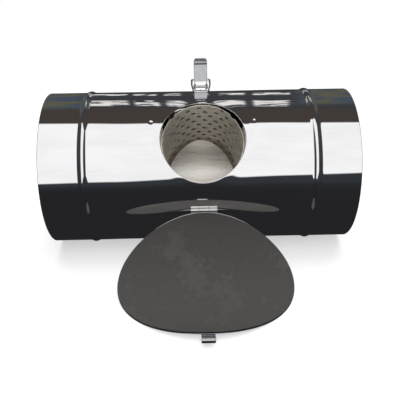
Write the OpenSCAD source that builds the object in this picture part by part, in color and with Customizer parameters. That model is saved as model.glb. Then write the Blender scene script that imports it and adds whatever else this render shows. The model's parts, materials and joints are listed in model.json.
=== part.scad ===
// Flue section with a perforated basket across its bore and a latched door.
// +X runs along the flue and +Z is up. The origin is on the flue's axis at its left end.
// The flue lies on its side, with the door swung open until it rests on the ground.

/* [Flue] */
// Length of the flue section
flue_length = 298; // [260:1:400]
// Outside diameter of the flue
flue_diameter = 152; // [150:0.5:154]
// Thickness of the flue sheet
flue_sheet = 1; // [0.8:0.1:1.2]
// Distance from the flue's middle to the middle of each stop bead
bead_offset = 108; // [102:1:112]
// Width of a stop bead
bead_width = 10; // [8:0.5:12]
// Height of a stop bead above the sheet
bead_height = 1.4; // [1:0.1:1.8]
// Width of the seam weld along the back
seam_width = 2.6; // [1.5:0.1:4]

/* [Opening] */
// Diameter of the round opening
opening_diameter = 79; // [78.6:0.2:80]
// Distance from the flue's middle to the opening's axis
opening_offset = 3; // [0:1:5]

/* [Basket] */
// Outside diameter of the basket tube
basket_diameter = 78; // [74:0.5:78]
// Thickness of the basket sheet
basket_sheet = 0.8; // [0.6:0.1:1]
// Depth of the end cap's middle behind the flue's axis
cap_depth = 52.7; // [50:0.1:56]
// Radius that the end cap is rolled to
cap_curve = 41; // [40:0.5:46]
// Diameter of one perforation
hole_diameter = 4.8; // [3:0.1:5.5]
// Number of perforations in one turn
holes_round = 21; // [16:1:22]
// Distance between neighbouring rows of perforations
row_pitch = 9.9; // [9:0.1:12]
// Even number of rows that the pattern climbs in one turn
row_climb = 4; // [0:2:6]
// Thickness of a fixing tab
tab_sheet = 0.8; // [0.6:0.1:1]

/* [Door] */
// Half of the door's length along the flue
door_half_length = 81; // [60:0.5:90]
// Angle from the opening's axis to the door's top or bottom edge
door_edge_angle = 50.2; // [49:0.1:51]
// Thickness of the door sheet
door_sheet = 0.8; // [0.6:0.1:1]
// Thickness of the door's lining
lining = 1.6; // [1.2:0.1:2]
// Gap between the shut door's lining and the flue
door_gap = 0.3; // [0.3:0.05:0.6]
// Angle that the open door has turned through
door_swing = 159; // [158:0.5:160]

/* [Hinge] */
// Angle from the opening's axis down to the hinge pin
hinge_angle = 51.9; // [51.7:0.1:52.5]
// Length of the hinge barrel
hinge_length = 24.8; // [20:0.2:30]
// Outside diameter of the hinge barrel
barrel_diameter = 3.2; // [3:0.1:3.2]
// Diameter of the hinge pin
hinge_pin_diameter = 1.6; // [1.4:0.1:1.8]
// Thickness of the hinge leaves and of the catch
leaf_sheet = 0.8; // [0.6:0.1:0.8]

/* [Latch] */
// Angle from the opening's axis up to the lever's pivot
latch_angle = 64; // [64:0.1:65]
// Height of the lever's pivot above the flue
pivot_rise = 4.2; // [4.2:0.1:4.6]
// Distance from the lever's pivot to the bail's pivot
bail_arm = 7; // [6.8:0.1:7.2]
// Outside width of the lever
lever_width = 13.4; // [13:0.1:14]
// Thickness of the lever and of its base
latch_sheet = 0.9; // [0.8:0.1:1]
// Diameter of the bail's wire
wire_diameter = 1.8; // [1.6:0.1:1.8]
// Outside width of the bail at its pivots
bail_width = 20; // [19.6:0.1:21]
// Outside width of the bail at its cross wire
bail_nose_width = 16.4; // [16.4:0.1:17]
// Width of the catch's hook
hook_width = 11.5; // [10:0.1:11.5]
// Angle that the lever turns through from open to shut
lever_swing = 96; // [95:0.5:97]

/* [Hidden] */
$fn = 48;

// Clearance round a pin that turns in its hole
running = 0.05;
// Extra length on a cutting shape, so that it passes a face
past = 1;

flue_r = flue_diameter / 2;
bore_r = flue_r - flue_sheet;
basket_r = basket_diameter / 2;
opening_x = flue_length / 2 + opening_offset;

// Radii of the shut door's three faces, about the flue's axis
lining_r = flue_r + door_gap;
panel_r = lining_r + lining;
door_r = panel_r + door_sheet;

// The barrel's top is level with the door leaf, which lies on the shut door
barrel_r = barrel_diameter / 2;
hinge_r = door_r + leaf_sheet - barrel_r;
pin_r = hinge_pin_diameter / 2;
knuckle = hinge_length / 3;
knuckle_gap = 0.15;

// The ground touches both stop beads and the open door's back. The hinge pin then has this
// elevation, and the opening's axis is hinge_angle above it.
ground_step = door_r - flue_r - bead_height;
half_fold = (180 - door_swing) / 2;
hinge_elevation = asin(ground_step / (2 * hinge_r * cos(half_fold))) - half_fold;
opening_elevation = hinge_elevation + hinge_angle;

// The latch is laid out on a flat plane that touches the flue below the lever's pivot:
// [distance away from the door, height]
bail_pivot_shut = [bail_arm * sin(lever_swing), pivot_rise + bail_arm * cos(lever_swing)];
wire_r = wire_diameter / 2;
hook_bend = 1.9;
hook_arc = 72;
hook_angle = hook_arc / flue_r * 180 / PI;
hook_centre_r = door_r + leaf_sheet + hook_bend;
wire_reach = hook_bend - wire_r - 0.1;
hook_turn = latch_angle - hook_angle;
wire_shut = [wire_reach * cos(hook_turn) - hook_centre_r * sin(hook_turn),
             hook_centre_r * cos(hook_turn) + wire_reach * sin(hook_turn) - flue_r];
bail_length = norm(wire_shut - bail_pivot_shut);

// The open bail lies on the flue, so its cross wire is at this radius from the flue's axis
wire_rest_r = flue_r + wire_r + 0.25;
bail_pivot_r = flue_r + pivot_rise + bail_arm;
bail_drop = acos((bail_pivot_r ^ 2 + bail_length ^ 2 - wire_rest_r ^ 2)
                 / (2 * bail_pivot_r * bail_length));
flange_x = lever_width / 2 - latch_sheet;
ear_x = flange_x - 0.2;
base_half = 6.8;
pivot_pin_r = 1.25;

// Basket: radii and the two curved ends
front_r = bore_r - tab_sheet;
cap_axis = cap_depth - cap_curve;
rear_lip = 1.2;
rear_r = cap_curve + basket_sheet + rear_lip;
front_margin = 4.5;
rear_margin = 5;
first_row = 58;
first_hole = 4.7;

// Spot welds that hold the basket's tabs to the flue
weld_x = 48;
weld_places = [-7.5, 6, 17.5];
dimple_ball = 6;
dimple_depth = 0.25;

module at_opening() {
    translate([opening_x, 0, 0]) rotate([90 - opening_elevation, 0, 0]) children();
}

// Places children on the flue, upright on its surface: angle is measured from the opening's
// axis towards the latch, and radius from the flue's axis.
module on_flue(angle, radius) {
    rotate([-angle, 0, 0]) translate([0, 0, radius]) children();
}

module along_x(radius, low, high) {
    translate([low, 0, 0]) rotate([0, 90, 0]) cylinder(r = radius, h = high - low);
}

// A curved plate about the flue's axis, from one angle to another
module curved_plate(inner, outer, from_angle, to_angle, half) {
    rotate([90 - to_angle, 0, 0]) rotate([0, 90, 0]) translate([0, 0, -half])
        rotate([0, 0, 90]) rotate_extrude(angle = to_angle - from_angle, $fn = 180)
            translate([inner, 0]) square([outer - inner, 2 * half]);
}

// Points a sheet's half thickness to one side of a path
function side_points(path, offset) = [for (i = [0 : len(path) - 1])
    let (before = path[max(i - 1, 0)], after = path[min(i + 1, len(path) - 1)],
         along = (after - before) / norm(after - before))
    path[i] + offset * [-along[1], along[0]]];

// A bent strip of sheet: path is its middle line, in the plane of children's Y and Z
module bent_strip(path, thickness, half) {
    left = side_points(path, thickness / 2);
    right = side_points(path, -thickness / 2);
    count = len(path) - 1;
    rotate([90, 0, 90]) translate([0, 0, -half]) linear_extrude(2 * half)
        polygon(concat(left, [for (i = [count : -1 : 0]) right[i]]));
}

// A round wire from one point to another, with a slightly larger ball at its start
module wire(start, end, radius) {
    run = end - start;
    translate(start) {
        sphere(r = radius * 1.03);
        rotate([0, acos(run[2] / norm(run)), atan2(run[1], run[0])])
            cylinder(r = radius, h = norm(run));
    }
}

// A rivet upright on Z: the shank runs from low to high, with a domed head above it
module rivet(low, high, shank_r, head_r, head_h) {
    ball_r = (head_r ^ 2 + head_h ^ 2) / (2 * head_h);
    translate([0, 0, low]) cylinder(r = shank_r, h = high - low);
    intersection() {
        translate([0, 0, high + head_h - ball_r]) sphere(r = ball_r);
        translate([0, 0, high]) cylinder(r = head_r, h = head_h);
    }
}

// ---- flue ----

// Height of the sheet above its plain radius, at a place along the flue
function bead_lift(x) =
    let (away = abs(abs(x - flue_length / 2) - bead_offset) / (bead_width / 2))
    away < 1 ? bead_height * (1 + cos(180 * away)) / 2 : 0;

bead_steps = 14;
flue_stations = concat([0],
    [for (side = [-1, 1], i = [0 : bead_steps])
        flue_length / 2 + side * bead_offset + (i / bead_steps - 0.5) * bead_width],
    [flue_length]);
function flue_line(radius) = [for (x = flue_stations) [radius + bead_lift(x), x]];
function backwards(list) = [for (i = [len(list) - 1 : -1 : 0]) list[i]];

module flue_sheet_solid(inner, outer) {
    rotate([0, 90, 0]) rotate_extrude($fn = 180)
        polygon(concat(flue_line(outer), backwards(flue_line(inner))));
}

module flue_shell() {
    color("silver") difference() {
        flue_sheet_solid(bore_r, flue_r);
        at_opening() {
            cylinder(d = opening_diameter, h = flue_r + past, $fn = 120);
            for (side = [-1, 1], place = weld_places)
                translate([side * weld_x, 0, 0])
                    on_flue(asin(place / flue_r), flue_r + dimple_ball - dimple_depth)
                        sphere(r = dimple_ball);
            hinge_rivet_places() flue_rivet_hole();
            latch_rivet_places() flue_rivet_hole();
        }
    }
}

// The weld stands proud between the beads only: outside them it is dressed flush, so that a
// socket slides over either end
module seam_weld() {
    seam_angle = seam_width / flue_r * 180 / PI;
    seam_height = 0.25;
    seam_half = bead_offset - bead_width;
    color("gainsboro") rotate([180 - opening_elevation, 0, 0]) rotate([0, 90, 0])
        rotate([0, 0, 180 - seam_angle / 2]) rotate_extrude(angle = seam_angle, $fn = 180)
            translate([flue_r, flue_length / 2 - seam_half]) square([seam_height, 2 * seam_half]);
}

// ---- basket ----

// Space inside a trough that is rolled to the given radius and open towards the opening
module trough(radius) {
    translate([0, 0, -cap_axis]) {
        along_x(radius, -basket_r - past, basket_r + past);
        translate([-basket_r - past, -radius, 0]) cube([2 * (basket_r + past), 2 * radius, bore_r]);
    }
}

module perforations() {
    rows_down = 14;
    for (row = [-row_climb : rows_down], column = [0 : holes_round - 1]) {
        turn = (column + abs(row % 2) / 2) * 360 / holes_round;
        z = first_row - row * row_pitch + row_climb * row_pitch * (turn / 360 - 0.5);
        angle = turn + first_hole + 180;
        y = basket_r * cos(angle);
        front = sqrt(front_r ^ 2 - y ^ 2) - front_margin;
        rear = -cap_axis - sqrt(rear_r ^ 2 - y ^ 2) + rear_margin;
        if (z < front && z > rear)
            translate([0, 0, z]) rotate([-90, 0, -angle]) translate([0, 0, basket_r / 2])
                cylinder(d = hole_diameter, h = basket_r, $fn = 20);
    }
}

module basket_wall() {
    color("tan") at_opening() difference() {
        intersection() {
            translate([0, 0, -bore_r]) cylinder(r = basket_r, h = 2 * bore_r, $fn = 120);
            along_x(front_r, -basket_r - past, basket_r + past, $fn = 180);
            trough(rear_r, $fn = 120);
        }
        translate([0, 0, -flue_r]) cylinder(r = basket_r - basket_sheet, h = 2 * flue_r, $fn = 120);
        perforations();
    }
}

module basket_end_cap() {
    color("gainsboro") at_opening() intersection() {
        translate([0, 0, -bore_r]) cylinder(r = basket_r - basket_sheet, h = bore_r, $fn = 120);
        translate([0, 0, -cap_axis]) difference() {
            along_x(cap_curve + basket_sheet, -basket_r, basket_r, $fn = 120);
            along_x(cap_curve, -flue_r, flue_r, $fn = 120);
            translate([-flue_r, -flue_r, 0]) cube([2 * flue_r, 2 * flue_r, flue_r]);
        }
    }
}

// A tab turned out from the basket's wall and welded to the inside of the flue
module basket_tab(side) {
    low = asin(-13 / bore_r);
    high = asin(23 / bore_r);
    reach = 54;
    leg_depth = 18;
    leg_half = 12;
    leg_r = basket_r + tab_sheet;
    foot_half = (reach - basket_r) / 2;
    color("silver") at_opening() mirror([side < 0 ? 1 : 0, 0, 0]) {
        difference() {
            translate([reach - foot_half, 0, 0]) curved_plate(front_r, bore_r, low, high, foot_half);
            rotate([0, 0, 90]) cylinder(r = basket_r + tab_sheet / 2, h = flue_r, $fn = 120);
        }
        rotate([0, 0, 90]) intersection() {
            difference() {
                cylinder(r = leg_r, h = flue_r, $fn = 120);
                translate([0, 0, -past]) cylinder(r = basket_r, h = flue_r + 2 * past, $fn = 120);
            }
            translate([-leg_half, -flue_r, front_r - leg_depth]) cube([2 * leg_half, flue_r, flue_r]);
            rotate([0, 0, 90]) along_x(front_r + tab_sheet / 2, -flue_r, flue_r, $fn = 180);
        }
    }
}

module basket_tab_left() { basket_tab(-1); }
module basket_tab_right() { basket_tab(1); }

// ---- door ----

module as_open_door() {
    at_opening() on_flue(-hinge_angle, hinge_r) rotate([door_swing, 0, 0])
        translate([0, 0, -hinge_r]) rotate([-hinge_angle, 0, 0]) children();
}

// A sheet rolled to the flue's curve, with an oval outline when seen along the opening's axis
module door_skin(inner, outer, inset) {
    steps = 120;
    length = door_half_length - inset;
    width = (inner + outer) / 2 * sin(door_edge_angle) - inset;
    intersection() {
        difference() {
            along_x(outer, -length - past, length + past, $fn = 180);
            along_x(inner, -length - 2 * past, length + 2 * past, $fn = 180);
        }
        linear_extrude(flue_diameter)
            polygon([for (i = [0 : steps - 1]) [length * cos(360 * i / steps),
                                                width * sin(360 * i / steps)]]);
    }
}

module door_panel() {
    color("silver") as_open_door() difference() {
        door_skin(panel_r, door_r, 0);
        door_rivet_places() cylinder(r = door_shank_r, h = 4, center = true);
    }
}

module door_lining() {
    lining_inset = 0.3;
    color("dimgray") as_open_door() door_skin(lining_r, panel_r, lining_inset);
}

// ---- hinge ----

leaf_reach = 9;
leaf_start = barrel_r + 0.4;
// How far a leaf's sides stop short of its knuckles' ends
leaf_inset = 0.1;
hinge_rivet_x = [-8.5, 0, 8.5];
rivet_along = 6;
flue_shank_r = 1.1;
door_shank_r = 1.1;

function arc_angle(arc) = arc / flue_r * 180 / PI;

module hinge_rivet_places() {
    for (x = hinge_rivet_x)
        translate([x, 0, 0]) on_flue(-hinge_angle - arc_angle(rivet_along), flue_r) children();
}

module flue_rivet_hole() { cylinder(r = flue_shank_r, h = 5, center = true); }

// A knuckle on the hinge's axis
module barrel(half, bore) {
    on_flue(-hinge_angle, hinge_r) difference() {
        along_x(barrel_r, -half, half, $fn = 32);
        along_x(bore, -half - past, half + past, $fn = 32);
    }
}

// Cuts a leaf away between two places along the barrel, over a stretch across it
module leaf_notch(radius, low, high, from_arc, to_arc) {
    on_flue(-hinge_angle, radius) translate([low, from_arc, -past])
        cube([high - low, to_arc - from_arc, leaf_sheet + 2 * past]);
}

module hinge_flue_leaf() {
    wrap = 0.4;
    notch = knuckle / 2 + knuckle_gap;
    color("lightgray") at_opening() {
        difference() {
            curved_plate(flue_r, flue_r + leaf_sheet, -hinge_angle - arc_angle(leaf_reach),
                         -hinge_angle + arc_angle(wrap), hinge_length / 2 - leaf_inset);
            leaf_notch(flue_r, -notch - leaf_inset, notch + leaf_inset, -leaf_start, wrap + past);
            hinge_rivet_places() flue_rivet_hole();
        }
        for (side = [-1, 1])
            translate([side * (hinge_length / 2 + notch) / 2, 0, 0])
                barrel((hinge_length / 2 - notch) / 2, pin_r);
    }
}

module hinge_door_leaf() {
    color("lightgray") as_open_door() {
        difference() {
            curved_plate(door_r, door_r + leaf_sheet, -hinge_angle,
                         -hinge_angle + arc_angle(leaf_reach), hinge_length / 2 - leaf_inset);
            for (side = [-1, 1])
                mirror([side < 0 ? 1 : 0, 0, 0])
                    leaf_notch(door_r, knuckle / 2 - leaf_inset, hinge_length / 2 + past, -past, leaf_start);
            hinge_door_rivet_places() cylinder(r = door_shank_r, h = 5, center = true);
            on_flue(-hinge_angle, hinge_r)
                along_x(pin_r + running, -hinge_length, hinge_length, $fn = 32);
        }
        barrel(knuckle / 2, pin_r + running);
    }
}

module hinge_pin() {
    head_h = 0.5;
    color("gray") at_opening() on_flue(-hinge_angle, hinge_r) {
        along_x(pin_r, -hinge_length / 2, hinge_length / 2, $fn = 32);
        for (side = [-1, 1])
            translate([side * (hinge_length + head_h) / 2, 0, 0])
                along_x(pin_r + 0.4, -head_h / 2, head_h / 2, $fn = 32);
    }
}

// A rivet through the flue, with a flattened tail inside the bore. The tail's flat face stops
// short of the sheet by the bore's own hollow under it.
module flue_rivet(stack) {
    tail_h = 0.5;
    tail_r = 1.7;
    tail_gap = tail_r ^ 2 / (2 * bore_r) + 0.01;
    rivet(-flue_sheet - tail_gap, stack, flue_shank_r, 1.9, 0.8);
    translate([0, 0, -flue_sheet - tail_gap - tail_h]) cylinder(r = tail_r, h = tail_h);
}

module hinge_flue_rivets() {
    color("whitesmoke") at_opening() hinge_rivet_places() flue_rivet(leaf_sheet);
}

module hinge_door_rivet_places() {
    for (x = hinge_rivet_x)
        translate([x, 0, 0]) on_flue(-hinge_angle + arc_angle(rivet_along), door_r) children();
}

module hinge_door_rivets() {
    color("whitesmoke") as_open_door() hinge_door_rivet_places()
        rivet(0.05 - door_sheet, leaf_sheet, door_shank_r, 1.9, 0.6);
}

// ---- catch ----

catch_foot_half = 9;
catch_start = 51;
catch_neck = 62;
catch_rivet_x = [-5.5, 5.5];
catch_rivet_arc = 56;

module catch_rivet_places() {
    for (x = catch_rivet_x)
        translate([x, 0, 0]) on_flue(arc_angle(catch_rivet_arc), door_r) children();
}

module door_rivet_places() {
    hinge_door_rivet_places() children();
    catch_rivet_places() children();
}

module catch_plate() {
    bend_r = hook_bend + leaf_sheet / 2;
    bend = [for (a = [-90 : 15 : 105]) bend_r * [cos(a), sin(a)]];
    color("silver") as_open_door() {
        difference() {
            union() {
                curved_plate(door_r, door_r + leaf_sheet, arc_angle(catch_start),
                             arc_angle(catch_neck), catch_foot_half);
                curved_plate(door_r, door_r + leaf_sheet, arc_angle(catch_neck) - 0.1, hook_angle,
                             hook_width / 2);
            }
            catch_rivet_places() cylinder(r = door_shank_r, h = 5, center = true);
        }
        on_flue(hook_angle, hook_centre_r) bent_strip(bend, leaf_sheet, hook_width / 2);
    }
}

module catch_rivets() {
    color("whitesmoke") as_open_door() catch_rivet_places()
        rivet(0.05 - door_sheet, leaf_sheet, door_shank_r, 1.9, 0.6);
}

// ---- latch ----

base_front = 11;
base_back = 13;
base_rivet_y = [-7.6, 9.2];

// Origin at the lever's pivot: X along the flue, Y away from the door, Z off the flue
module at_latch() {
    at_opening() on_flue(latch_angle, flue_r + pivot_rise) children();
}

module latch_rivet_places() {
    for (y = base_rivet_y)
        on_flue(latch_angle + arc_angle(y), flue_r) children();
}

module latch_base() {
    ear_r = 2.8;
    ear_foot = 4.6;
    ear_low = 0.5 - pivot_rise;
    color("silver") {
        at_opening() difference() {
            curved_plate(flue_r, flue_r + latch_sheet, latch_angle - arc_angle(base_front),
                         latch_angle + arc_angle(base_back), base_half);
            latch_rivet_places() flue_rivet_hole();
        }
        at_latch() difference() {
            for (side = [-1, 1])
                translate([side * (ear_x - latch_sheet / 2), 0, 0])
                    along_x_plate(latch_sheet) {
                        circle(r = ear_r);
                        polygon([[-ear_foot, ear_low], [ear_foot, ear_low], [ear_r, 0], [-ear_r, 0]]);
                    }
            along_x(pivot_pin_r, -base_half, base_half);
        }
    }
}

// Gives a flat outline in Y and Z a thickness along X, about its middle
module along_x_plate(thickness) {
    rotate([90, 0, 90]) translate([0, 0, -thickness / 2]) linear_extrude(thickness) children();
}

module latch_base_rivets() {
    color("whitesmoke") at_opening() latch_rivet_places() flue_rivet(latch_sheet);
}

module latch_pivot_pin() {
    head_h = 0.6;
    color("gray") at_latch() {
        along_x(pivot_pin_r, -lever_width / 2 - running, lever_width / 2 + running);
        for (side = [-1, 1])
            translate([side * (lever_width / 2 + running + head_h / 2), 0, 0])
                along_x(2, -head_h / 2, head_h / 2);
    }
}

lever_face = 3.05;
web_start = 5;
tip_corner = 4;
tip_top = 28.2;

// The lever stands upright: Z runs along it from its pivot, and its outer face is towards -Y
module latch_lever() {
    flange_end = 22;
    web = [[-lever_face, web_start], [-lever_face, 18.5], [-lever_face + 0.35, 20],
           [-lever_face + 0.5, 21.5], [-lever_face + 0.1, 23.2], [-lever_face - 1, 25],
           [-lever_face - 2.5, 26.6], [-lever_face - 4.2, 27.7]];
    color("silver") at_latch() difference() {
        union() {
            intersection() {
                bent_strip(web, latch_sheet, lever_width / 2);
                rotate([90, 0, 0]) linear_extrude(40, center = true) {
                    translate([-lever_width / 2, 0]) square([lever_width, tip_top - tip_corner]);
                    translate([tip_corner - lever_width / 2, 0])
                        square([lever_width - 2 * tip_corner, tip_top]);
                    for (side = [-1, 1])
                        translate([side * (lever_width / 2 - tip_corner), tip_top - tip_corner])
                            circle(r = tip_corner);
                }
            }
            for (side = [-1, 1])
                translate([side * (flange_x + latch_sheet / 2), 0, 0]) along_x_plate(latch_sheet) {
                    circle(r = 2.6);
                    polygon([[2.4, 0], [2.4, 9], [-1.6, flange_end], [-lever_face - latch_sheet / 2,
                             flange_end], [-lever_face - latch_sheet / 2, 3], [-2.6, 0]]);
                }
        }
        along_x(pivot_pin_r + running, -lever_width, lever_width);
        translate([0, 0, bail_arm]) along_x(wire_r + running, -lever_width, lever_width);
    }
}

module latch_bail() {
    inner_end = 5;
    side_x = bail_width / 2 - wire_r;
    nose_x = bail_nose_width / 2 - wire_r;
    shoulder = 0.45 * bail_length;
    color("darkgray") at_latch() translate([0, 0, bail_arm]) rotate([-bail_drop, 0, 0]) {
        for (side = [-1, 1]) {
            pivot = [side * side_x, 0, 0];
            bend = [side * side_x, 0, -shoulder];
            corner = [side * nose_x, 0, -bail_length];
            wire(pivot, bend, wire_r);
            wire(bend, corner, wire_r);
            translate([side * (side_x + inner_end) / 2, 0, 0])
                along_x(wire_r, -(side_x - inner_end) / 2, (side_x - inner_end) / 2);
        }
        wire([-nose_x, 0, -bail_length], [nose_x, 0, -bail_length], wire_r);
        translate([nose_x, 0, -bail_length]) sphere(r = wire_r * 1.03);
    }
}

flue_shell();
seam_weld();
basket_wall();
basket_end_cap();
basket_tab_left();
basket_tab_right();
door_panel();
door_lining();
hinge_flue_leaf();
hinge_door_leaf();
hinge_pin();
hinge_flue_rivets();
hinge_door_rivets();
catch_plate();
catch_rivets();
latch_base();
latch_base_rivets();
latch_lever();
latch_pivot_pin();
latch_bail();
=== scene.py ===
"""The looks of a polished flue section with a perforated basket and a latched, lined door."""

import json
import logging
import math
from collections.abc import Callable, Sequence
from dataclasses import dataclass, field
from enum import Enum

import bmesh
import bpy
import numpy as np
from mathutils import Matrix, Vector


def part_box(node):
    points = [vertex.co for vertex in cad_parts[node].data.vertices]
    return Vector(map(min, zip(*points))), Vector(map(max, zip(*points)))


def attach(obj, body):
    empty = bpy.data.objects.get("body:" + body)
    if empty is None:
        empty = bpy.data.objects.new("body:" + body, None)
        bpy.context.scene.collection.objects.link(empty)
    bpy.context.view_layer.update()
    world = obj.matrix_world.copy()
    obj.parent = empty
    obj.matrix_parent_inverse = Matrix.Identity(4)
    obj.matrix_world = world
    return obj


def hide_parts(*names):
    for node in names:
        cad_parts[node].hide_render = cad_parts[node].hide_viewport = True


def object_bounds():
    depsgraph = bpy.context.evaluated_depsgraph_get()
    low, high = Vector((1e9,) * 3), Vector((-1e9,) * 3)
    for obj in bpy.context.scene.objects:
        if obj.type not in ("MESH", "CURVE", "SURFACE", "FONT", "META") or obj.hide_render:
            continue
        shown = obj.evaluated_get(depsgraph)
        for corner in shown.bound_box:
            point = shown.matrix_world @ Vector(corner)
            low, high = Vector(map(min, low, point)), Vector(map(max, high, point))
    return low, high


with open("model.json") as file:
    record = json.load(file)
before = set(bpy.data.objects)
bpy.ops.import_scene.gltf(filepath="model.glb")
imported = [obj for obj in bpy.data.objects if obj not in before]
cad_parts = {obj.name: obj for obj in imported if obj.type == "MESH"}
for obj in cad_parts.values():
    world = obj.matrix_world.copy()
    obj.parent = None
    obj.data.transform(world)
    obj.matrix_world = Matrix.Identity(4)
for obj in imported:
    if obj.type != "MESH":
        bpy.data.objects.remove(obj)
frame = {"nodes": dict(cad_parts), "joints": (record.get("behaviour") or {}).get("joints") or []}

CAD_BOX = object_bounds()
LOG = logging.getLogger("flue")
MM = 0.001
FULL_TURN = 2 * math.pi
WELD_DISTANCE = 1e-7
POLE_SHARE = 1e-6
SMALLEST = 1e-12

Placing = Callable[[np.ndarray], np.ndarray]
Colour = tuple[float, float, float]


class Body(Enum):
    """The bodies that move apart from each other."""

    FLUE = "flue"
    DOOR = "door"
    LEVER = "lever"
    BAIL = "bail"


# ---------------------------------------------------------------------------
# Surfaces
# ---------------------------------------------------------------------------


@dataclass
class Patch:
    """A smooth surface on a grid of two parameters: points[i, j] is the place at i and j.

    A patch may close on itself along the second parameter, and a row may shrink to a pole.
    """

    points: np.ndarray
    round_v: bool = False
    facing: np.ndarray | None = None

    def normals(self) -> np.ndarray:
        """Unit normals: the cross product of the two parameters' slopes.

        Returns:
            One unit vector for each point. A pole takes the mean of the row beside it.
        """
        if self.facing is not None:
            return self.facing
        if self.round_v:
            across = np.roll(self.points, -1, 1) - np.roll(self.points, 1, 1)
        else:
            across = np.gradient(self.points, axis=1)
        cross = np.cross(np.gradient(self.points, axis=0), across)
        size = np.linalg.norm(cross, axis=2, keepdims=True)
        unit = cross / np.maximum(size, SMALLEST ** 2)
        for row, beside in ((0, 1), (-1, -2)):
            if (size[row] < size.max() * POLE_SHARE).all():
                mean = unit[beside].mean(axis=0)
                unit[row] = mean / max(np.linalg.norm(mean), SMALLEST)
        return unit

    def quads(self) -> np.ndarray:
        """Corner numbers of the grid's cells, shape (cells, 4)."""
        rows, columns = self.points.shape[:2]
        number = np.arange(rows * columns).reshape(rows, columns)
        if self.round_v:
            number = np.hstack([number, number[:, :1]])
        corners = (number[:-1, :-1], number[1:, :-1], number[1:, 1:], number[:-1, 1:])
        return np.stack([c.ravel() for c in corners], axis=1)


def without_doubles(points: np.ndarray, quads: np.ndarray
                    ) -> tuple[np.ndarray, np.ndarray, list[list[int]], np.ndarray]:
    """Joins points that lie on each other, and turns cells that a pole shrinks into triangles.

    Args:
        points: Places, shape (n, 3).
        quads: Corner numbers, shape (cells, 4).

    Returns:
        The joined places, the new number of each old point, the faces as lists of corners, and
        for each face the four corner numbers before joining (a triangle repeats one).
    """
    key = np.round(points / WELD_DISTANCE).astype(np.int64)
    _, first, joined = np.unique(key, axis=0, return_index=True, return_inverse=True)
    joined = joined.ravel()
    corner = joined[quads]
    same = corner == np.roll(corner, -1, axis=1)
    whole = same.sum(axis=1) == 0
    faces = corner[whole].tolist()
    sources = [quads[whole]]
    for k in range(4):
        shrunk = (same.sum(axis=1) == 1) & same[:, k]
        kept = [j for j in range(4) if j != k]
        faces += corner[shrunk][:, kept].tolist()
        sources.append(quads[shrunk][:, kept + kept[:1]])
    return points[first], joined, faces, np.vstack(sources)


def make_piece(name: str, patches: Sequence[Patch]) -> bpy.types.Object:
    """Makes one object from patches that meet, with each patch's own normals.

    Args:
        name: The object's name.
        patches: The surfaces, which together close one or more shells.

    Returns:
        The object, with its faces outwards.
    """
    start = np.cumsum([0] + [p.points[..., 0].size for p in patches])[:-1]
    points = np.vstack([p.points.reshape(-1, 3) for p in patches])
    normals = np.vstack([p.normals().reshape(-1, 3) for p in patches])
    quads = np.vstack([p.quads() + s for p, s in zip(patches, start)])
    places, joined, faces, sources = without_doubles(points, quads)

    mesh = bpy.data.meshes.new(name)
    mesh.from_pydata(places.tolist(), [], faces)
    shell = bmesh.new()
    shell.from_mesh(mesh)
    bmesh.ops.recalc_face_normals(shell, faces=shell.faces[:])
    shell.to_mesh(mesh)
    shell.free()

    loops = np.zeros(len(mesh.loops), np.int32)
    mesh.loops.foreach_get("vertex_index", loops)
    sizes = np.zeros(len(mesh.polygons), np.int32)
    mesh.polygons.foreach_get("loop_total", sizes)
    outwards = np.zeros(len(mesh.polygons) * 3)
    mesh.polygons.foreach_get("normal", outwards)
    face = np.repeat(np.arange(len(sizes)), sizes)
    corner = (joined[sources][face] == loops[:, None]).argmax(axis=1)
    chosen = normals[sources[face, corner]]
    inward = (chosen * outwards.reshape(-1, 3)[face]).sum(axis=1) < 0
    chosen[inward] *= -1
    mesh.polygons.foreach_set("use_smooth", np.ones(len(sizes), bool))
    mesh.normals_split_custom_set(chosen.tolist())
    piece = bpy.data.objects.new(name, mesh)
    bpy.context.scene.collection.objects.link(piece)
    return piece


def revolved(profile: np.ndarray, place: Placing, segments: int = 32) -> Patch:
    """Turns a profile round Z: (r, h) becomes (r cos t, r sin t, h) for t round the circle.

    Args:
        profile: Radius and height of each point, shape (n, 2).
        place: Puts the local points where they belong.
        segments: Steps round the circle.

    Returns:
        The patch, closed round the axis.
    """
    turn = np.linspace(0, FULL_TURN, segments, endpoint=False)
    radius, height = profile[:, :1], profile[:, 1:]
    local = np.stack([radius * np.cos(turn), radius * np.sin(turn),
                      height + 0 * turn], axis=2)
    return Patch(place(local), round_v=True)


def line(*corners: float | tuple[float, float], steps: Sequence[int]) -> np.ndarray:
    """Points along straight stretches between corners.

    Args:
        corners: The corners, in order, each a number or a pair.
        steps: Steps along each stretch.

    Returns:
        The points, shape (n,) for numbers or (n, 2) for pairs.
    """
    ends = np.array(corners, float)
    runs = [np.linspace(a, b, n, endpoint=False) for a, b, n in zip(ends[:-1], ends[1:], steps)]
    return np.concatenate(runs + [ends[-1:]])


def arc(centre: tuple[float, float], radius: float, start: float, end: float,
        steps: int = 6) -> np.ndarray:
    """Points on a circle's arc, with its angles in degrees.

    Args:
        centre: The circle's centre.
        radius: The circle's radius.
        start: First angle.
        end: Last angle.
        steps: Steps along the arc.

    Returns:
        The points, shape (steps + 1, 2).
    """
    turn = np.radians(np.linspace(start, end, steps + 1))
    return np.stack([centre[0] + radius * np.cos(turn), centre[1] + radius * np.sin(turn)], axis=1)


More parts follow.
